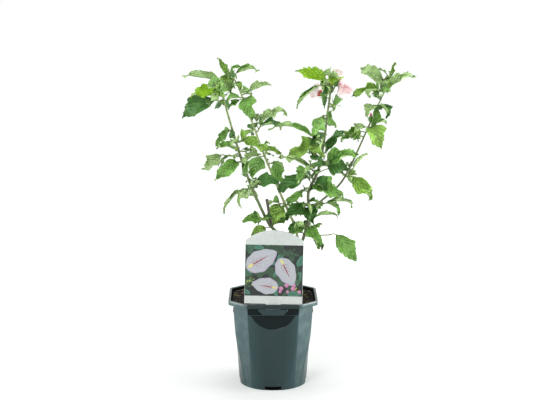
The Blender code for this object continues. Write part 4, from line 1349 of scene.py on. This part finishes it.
def make_cane_foliage(cane):
    """All that grows on one cane, gathered by kind: leaves, twigs, buds and blooms."""
    leaves, twigs, buds, blooms = Sheets(), Sheets(), Sheets(), Sheets()
    rows = zip(SPRAYS[cane], TONES[cane], FORMS[cane])
    for number, (row, tone, form) in enumerate(rows, 1):
        draw = np.random.default_rng([number, len(cane), ord(cane[0]), ord(cane[-1])])
        path, grown = grow_spray(cane, number, row)
        stem = smooth_path([np.array(p) / MM for p in path], PATH_STEPS) * MM
        twigs.add(tube_grid(stem, np.linspace(STEM_RADIUS, STALK_RADIUS * 1.1, len(stem)), 7),
                  wrap=True)
        for part in grown:
            foot = part.place.translation
            forward = part.place.col[0].to_3d()
            bud = part.kind in ("bud", "bloom")
            into = foot + forward * part.size * (0.03 if bud else 0.015)
            twigs.add(stalk_grid(part.root, into, forward, STALK_RADIUS * 1.1,
                                 STALK_RADIUS * (1.3 if bud else 0.85)), wrap=True)
            if part.kind == "bud":
                petal = cane == "right_outer"
                add_bud(buds, part.place, part.size, draw, petal)
            elif part.kind == "bloom":
                opening, finish, grown_by = BLOOMS[number]
                add_bloom(blooms, buds, part.place, part.size * grown_by, draw, opening, finish)
            else:
                same = part.lead or draw.random() < 0.5
                curl = form.lower() if same else "fwd"[int(draw.integers(3))]
                if form.isupper() and not part.lead:
                    curl = "s"
                grid, uv = leaf_grid(part.kind, part.size, part.wave, draw, WIDE_ACROSS, curl)
                leaves.add(placed(grid, part.place), TOP_OF[tone if same else DEEPER[tone]], uv=uv)
        side_shoot(leaves, twigs, path[:3], row[1], tone, draw,
                   row[5] if row[6] in ("lobed", "long") else 36)
    draw = np.random.default_rng(len(cane))
    for row in LOW_LEAVES[cane]:
        low_leaf(cane, row, leaves, twigs, draw)
    for height, azimuth, pitch, length, petal in BUDS[cane]:
        centre, _, radius, _ = LIMB_OF[cane].at_height(height * MM)
        ahead = heading(azimuth, pitch)
        foot = centre + ahead * (radius + 0.004)
        add_bud(buds, frame_at(foot, ahead, BESIDE_UP), length * MM, draw, petal)
        twigs.add(stalk_grid(centre, foot + ahead * 0.001, ahead, 0.0011, 0.0009), wrap=True)
    return leaves, twigs, buds, blooms


# Settings, as a user would change them


def colour_prop(name, description, code):
    """A colour that the user may change, from its hex code."""
    return bpy.props.FloatVectorProperty(name=name, description=description, subtype="COLOR",
                                         size=3, min=0, max=1, default=linear(code))


class PotSettings(bpy.types.PropertyGroup):
    """Colours and fineness of the pot and its mix"""

    plastic: colour_prop("Plastic", "Colour of the moulded pot", "#1f3234")
    dust: colour_prop("Dust", "Colour of dust and fine specks on the pot", "#5c6664")
    around: bpy.props.IntProperty(name="Points around", description="Points in each ring of the pot",
                                  default=384, min=64, max=640)
    mix_dark: colour_prop("Mix, dark", "Darkest colour of the potting mix", "#090805")
    mix_light: colour_prop("Mix, light", "Lightest colour of the potting mix", "#1b160e")
    fibre: colour_prop("Fibre", "Colour of straw fibres in the mix", "#a29556")
    chips: bpy.props.IntProperty(name="Chips", description="Bark chips that lie on the mix",
                                 default=900, min=0, max=4000)


class LabelSettings(bpy.types.PropertyGroup):
    """Colours of the card and its print"""

    card: colour_prop("Card", "Colour of the blank bands and the back", "#bcc2be")
    ground: colour_prop("Ground", "Ground colour of the printed picture", "#192120")
    leaves: colour_prop("Leaves", "Main green of the printed picture", "#2e4a35")
    pale: colour_prop("Pale print", "Colour of the large pale printed leaves", "#a9acb3")
    accent: colour_prop("Accent", "Crimson accent of the printed picture", "#8a1f33")


class BarkSettings(bpy.types.PropertyGroup):
    """Colours and fineness of the bark"""

    old: colour_prop("Old bark", "Colour of the trunk", "#66664a")
    young: colour_prop("Young bark", "Colour of the canes towards their tips", "#87a05a")
    sides: bpy.props.IntProperty(name="Sides", description="Points in each ring of bark",
                                 default=22, min=8, max=48)


class LeafSettings(bpy.types.PropertyGroup):
    """Colours and thickness of the leaves, and the stalks' colour"""

    new: colour_prop("New leaf", "Brightest green, of the newest leaves", "#8fbe2a")
    fresh: colour_prop("Fresh leaf", "Green of young full-sized leaves", "#89b24e")
    middle: colour_prop("Leaf", "Green of most leaves", "#78a850")
    deep: colour_prop("Old leaf", "Green of the oldest and shaded leaves", "#467433")
    pale: colour_prop("Pale leaf", "Soft green of the thin leaves", "#a2bf80")
    under: colour_prop("Underside", "Pale green of leaf undersides", "#9dbd78")
    thick: bpy.props.FloatProperty(name="Leaf thickness", description="Thickness of a leaf",
                                   default=0.0004, min=0.0001, max=0.002, subtype="DISTANCE")
    stalk: colour_prop("Stalk", "Green of leaf stalks and thin stems", "#708c44")


class BloomSettings(bpy.types.PropertyGroup):
    """Colours of the blooms and buds"""

    pale: colour_prop("Petal", "Main colour of the petals", "#e8dedd")
    rim: colour_prop("Petal rim", "Pink of the petals' rims", "#dfb2b5")
    eye: colour_prop("Eye", "Crimson at the petals' bases", "#b01c3a")
    stamens: colour_prop("Stamens", "Cream of the column of stamens", "#efe3a8")
    calyx: colour_prop("Calyx", "Green of calyx and bracts", "#5f8f3e")


class StageSettings(bpy.types.PropertyGroup):
    """Colour and glow of the floor, and the strength of the lights"""

    floor: colour_prop("Floor", "Colour of the plain floor", "#bcbdbc")
    world: bpy.props.FloatProperty(name="Light overhead", description="Strength of the soft "
                                   "light from above the horizon", default=0.35, min=0, max=4)
    glow: bpy.props.FloatProperty(name="Floor glow", description="Light given off by the paper, "
                                  "so that it stays white far from the lamps", default=0.82,
                                  min=0, max=2)
    key: bpy.props.FloatProperty(name="Main light", description="Power of the large light in "
                                 "front", default=30, min=0, max=500, subtype="POWER")


GROUPS = {"pot": PotSettings, "label": LabelSettings, "bark": BarkSettings,
          "leaf": LeafSettings, "bloom": BloomSettings, "stage": StageSettings}


def settings(context, group):
    """One of the groups of settings, as the scene keeps it."""
    return getattr(context.scene, f"rose_{group}")


# One operator for each piece or group of like pieces


class AddPot(bpy.types.Operator):
    """Makes the pot's fine surface and the tab that holds the label"""

    bl_idname = "rose.add_pot"
    bl_label = "Pot"

    def execute(self, context):
        chosen = settings(context, "pot")
        plastic = moulded_polypropylene(chosen.plastic, chosen.dust)
        skin = Sheets()
        grid, shares = pot_grid(chosen.around)
        # A face takes the last of the finishes that hold more than half of its four corners.
        beside = shares + np.roll(shares, -1, axis=1)
        within = beside[1:] + beside[:-1] > 2
        skin.add(grid, np.where(within.any(-1), 3 - within[..., ::-1].argmax(-1), 0), wrap=True)
        top, bottom, height, thick = TAB
        deep = thick + WALL * 0.9
        tab = rounded_bar(bottom, top, height, deep, 0.02)
        skin.add(tab + [0, deep / 2 - LIP_HALF + TAB_BACK, UNDER_LIP - height / 2], wrap=True)
        finishes = [plastic, polished_polypropylene_in_painted_shade(chosen.plastic),
                    polypropylene_painted_light(chosen.plastic, chosen.dust), plastic_in_shade()]
        mesh = skin.mesh("pot_skin", finishes, closed=True)
        mesh.set_sharp_from_angle(angle=math.radians(50))
        add_piece("pot_skin", mesh, ["pot"])
        return {"FINISHED"}


class AddMix(bpy.types.Operator):
    """Makes the potting mix with its bark chips and straw fibres"""

    bl_idname = "rose.add_mix"
    bl_label = "Potting mix"

    def execute(self, context):
        chosen = settings(context, "pot")
        ground = Sheets()
        ground.add(mix_grid(160, 46), wrap=True)
        bark = composted_bark("composted_bark", chosen.mix_dark, chosen.mix_light, 3.0)
        add_piece("mix_ground", ground.mesh("mix_ground", [bark], closed=True),
                  ["potting_mix"])
        chip = composted_bark("bark_chip", chosen.mix_light, times(chosen.mix_light, 1.4), 4.0)
        straw = composted_bark("straw_fibre", chosen.fibre, times(chosen.fibre, 1.3), 4.0)
        loose = Sheets()
        draw = np.random.default_rng(11)
        for slot, count, lengths, slim in ((0, chosen.chips, (0.002, 0.0075), (0.25, 0.6)),
                                           (1, chosen.chips // 4, (0.003, 0.011), (0.06, 0.14))):
            for grid in chip_grids(draw, count, lengths, slim):
                loose.add(grid, slot, wrap=True)
        add_piece("mix_chips", loose.mesh("mix_chips", [chip, straw], closed=True))
        return {"FINISHED"}


class AddLabel(bpy.types.Operator):
    """Makes the picture label with its blank bands and a plain leaf and berry print"""

    bl_idname = "rose.add_label"
    bl_label = "Plant label"

    def execute(self, context):
        chosen = settings(context, "label")
        card = Sheets()
        card.add(card_grid(), wrap=True)
        mesh = card.mesh("label_card", [coated_card("coated_card", chosen.card)], closed=True)
        mesh.set_sharp_from_angle(angle=math.radians(40))
        add_piece("label_card", mesh, ["plant_label"])
        colours = {"ground": chosen.ground, "green": chosen.leaves,
                   "dark_green": times(chosen.leaves, 0.6),
                   "pale_green": times(chosen.leaves, 1.35), "white": chosen.pale,
                   "crimson": chosen.accent, "pink": linear("#b9749c"),
                   "yellow": linear("#cfc67a"), "lilac": linear("#a99fb4"),
                   "teal": linear("#3f7460"), "lime": linear("#8c9a45")}
        inks = [printing_ink(f"ink_{name}", colour) for name, colour in colours.items()]
        order = list(colours)
        picture = Sheets()
        x, z = np.meshgrid(np.linspace(-PICTURE_HALF, PICTURE_HALF, 12),
                           np.linspace(*PICTURE, 10))
        ground = card_point(x, z, LABEL_THICK / 2 + PRINT_GROUND)
        picture.add(ground.transpose(1, 0, 2), order.index("ground"))
        for kind, ink, centre, size, turn, layer in picture_shapes(np.random.default_rng(5)):
            picture.add(print_grid(kind, centre, size, turn, layer), order.index(ink))
        add_piece("label_print", picture.mesh("label_print", inks))
        return {"FINISHED"}


class AddBark(bpy.types.Operator):
    """Makes the bark of the trunk, the canes and the cut stub"""

    bl_idname = "rose.add_bark"
    bl_label = "Trunk and canes"

    def execute(self, context):
        chosen = settings(context, "bark")
        old, young, grey = chosen.old, chosen.young, linear("#565147")
        # Name, colour at the foot and at the tip, heights between which one passes into the
        # other, and how much the limb swells at its foot
        looks = {
            "trunk": ("bark_of_trunk", old, old, (0, 1), FLARE),
            "cut_stub": ("bark_of_stub", grey, grey, (0, 1), 0.3),
            "left_outer": ("bark_left_outer", linear("#586940"), young, (0.32, 0.5), 0.4),
            "left_inner": ("bark_left_inner", linear("#949a6c"), young, (0.3, 0.5), 0.4),
            "right_inner": ("bark_right_inner", linear("#5b6242"), young, (0.38, 0.62), 0.4),
            "right_outer": ("bark_right_outer", linear("#5d6640"), young, (0.38, 0.62), 0.15),
        }
        for seed, (limb, (name, low, high, heights, swelling)) in enumerate(looks.items()):
            sides = chosen.sides + (10 if limb == "trunk" else 0)
            skin = Sheets()
            skin.add(bark_grid(limb, seed * 7, sides, swelling), wrap=True)
            bark = living_bark(name, low, high, heights)
            woody = limb in ("trunk", "cut_stub")
            add_piece(name, skin.mesh(name, [bark], closed=True),
                      [limb if woody else f"cane_{limb}"])
        return {"FINISHED"}


class AddFoliage(bpy.types.Operator):
    """Grows the leaves, stalks, buds and blooms on every cane"""

    bl_idname = "rose.add_foliage"
    bl_label = "Leaves, buds and blooms"

    def execute(self, context):
        chosen = settings(context, "leaf")
        bloom = settings(context, "bloom")
        under = leaf_skin("leaf_underside", chosen.under, times(chosen.under, 1.2), 0.66)
        skins = []
        for name in ("new", "fresh", "middle", "deep", "pale"):
            colour = getattr(chosen, name)
            vein = [channel * 1.5 + 0.03 for channel in colour]
            skins += [leaf_skin(f"leaf_{name}", colour, vein, 0.46), under]
        rind = green_rind("green_stalk", chosen.stalk, times(chosen.stalk, 0.7))
        calyx = green_rind("green_calyx", bloom.calyx, times(bloom.calyx, 0.7))
        petal = petal_skin("petal", bloom.pale, bloom.rim, bloom.eye)
        faded = petal_skin("faded_petal", bloom.pale, Vector(bloom.pale).lerp(bloom.rim, 0.3),
                           bloom.eye, 0.66)
        rolled = green_rind("rolled_petal", linear("#c85a6e"), linear("#a8405a"))
        stamens = green_rind("stamen_column", bloom.stamens, times(bloom.stamens, 0.85))
        for cane in SPRAYS:
            leaves, twigs, buds, blooms = make_cane_foliage(cane)
            nodes = [f"foliage_{cane}_{n}" for n in range(1, len(SPRAYS[cane]) + 1)]
            blades = add_piece(f"leaves_{cane}", leaves.mesh(f"leaves_{cane}", skins),
                               nodes)
            thicken(blades, chosen.thick, 1)
            add_piece(f"stalks_{cane}", twigs.mesh(f"stalks_{cane}", [rind], closed=True))
            if buds.count:
                add_piece(f"buds_{cane}", buds.mesh(f"buds_{cane}", [calyx, rolled]))
            if blooms.count:
                petals = add_piece(f"blooms_{cane}", blooms.mesh(f"blooms_{cane}",
                                                                [petal, stamens, faded]))
                thicken(petals, chosen.thick, 0)
        return {"FINISHED"}


class AddStage(bpy.types.Operator):
    """Sets the plain floor, the soft studio lights and the camera"""

    bl_idname = "rose.add_stage"
    bl_label = "Floor, lights and camera"

    def execute(self, context):
        chosen = settings(context, "stage")
        scene = context.scene
        floor = Sheets()
        span = np.linspace(-FLOOR_HALF, FLOOR_HALF, 3)
        x, y = np.meshgrid(span, span, indexing="ij")
        floor.add(np.stack((x, y, 0 * x), -1))
        ground = bpy.data.objects.new("floor", floor.mesh("floor", [studio_paper(
            chosen.floor, chosen.glow)]))
        scene.collection.objects.link(ground)
        world = bpy.data.worlds.new("studio")
        world.use_nodes = True
        sky = world.node_tree.nodes["Background"]
        sky.inputs["Color"].default_value = (1, 1, 1, 1)
        level = add_node(world.node_tree, "ShaderNodeMapRange", {
            "Value": axes_of(world.node_tree, "Generated")["Z"], "From Min": 0.05,
            "From Max": 0.35, "To Min": 1.0, "To Max": chosen.world})
        world.node_tree.links.new(level.outputs["Result"], sky.inputs["Strength"])
        scene.world = world
        for name, (place, size, share) in LAMPS.items():
            light = bpy.data.lights.new(name, "AREA")
            light.energy = chosen.key * share
            light.size = size
            lamp = bpy.data.objects.new(name, light)
            lamp.location = place
            aim = LAMPS_AIM - Vector(place)
            lamp.rotation_euler = aim.to_track_quat("-Z", "Y").to_euler()
            scene.collection.objects.link(lamp)
        lens = bpy.data.cameras.new("camera")
        lens.sensor_width = SENSOR_WIDTH
        lens.lens = SENSOR_WIDTH * FOCAL_LENGTH
        lens.clip_end = 100
        camera = bpy.data.objects.new("camera", lens)
        camera.location = CAMERA_AT
        camera.rotation_euler = (CAMERA_PITCH, 0, 0)
        scene.collection.objects.link(camera)
        scene.camera = camera
        scene.view_settings.view_transform = "Standard"
        return {"FINISHED"}


class RosePanel(bpy.types.Panel):
    """Lists the pieces of the potted shrub and their settings"""

    bl_idname = "VIEW3D_PT_rose"
    bl_label = "Rose of sharon"
    bl_space_type = "VIEW_3D"
    bl_region_type = "UI"
    bl_category = "Rose of sharon"

    def draw(self, context):
        for operator in OPERATORS:
            self.layout.operator(operator.bl_idname)
        for group in GROUPS:
            box = self.layout.box()
            chosen = settings(context, group)
            for name in chosen.__annotations__:
                box.prop(chosen, name)


OPERATORS = (AddStage, AddPot, AddMix, AddLabel, AddBark, AddFoliage)
CLASSES = (*GROUPS.values(), *OPERATORS, RosePanel)


def register():
    """Adds the classes, and their settings to the scene."""
    for made in CLASSES:
        bpy.utils.register_class(made)
    for group, made in GROUPS.items():
        setattr(bpy.types.Scene, f"rose_{group}", bpy.props.PointerProperty(type=made))


def unregister():
    """Takes away what register added."""
    for group in GROUPS:
        delattr(bpy.types.Scene, f"rose_{group}")
    for made in reversed(CLASSES):
        bpy.utils.unregister_class(made)


def main():
    """Builds the stage and every piece."""
    register()
    bpy.ops.rose.add_stage()
    bpy.ops.rose.add_pot()
    bpy.ops.rose.add_mix()
    bpy.ops.rose.add_label()
    bpy.ops.rose.add_bark()
    bpy.ops.rose.add_foliage()


if __name__ == "__main__":
    main()
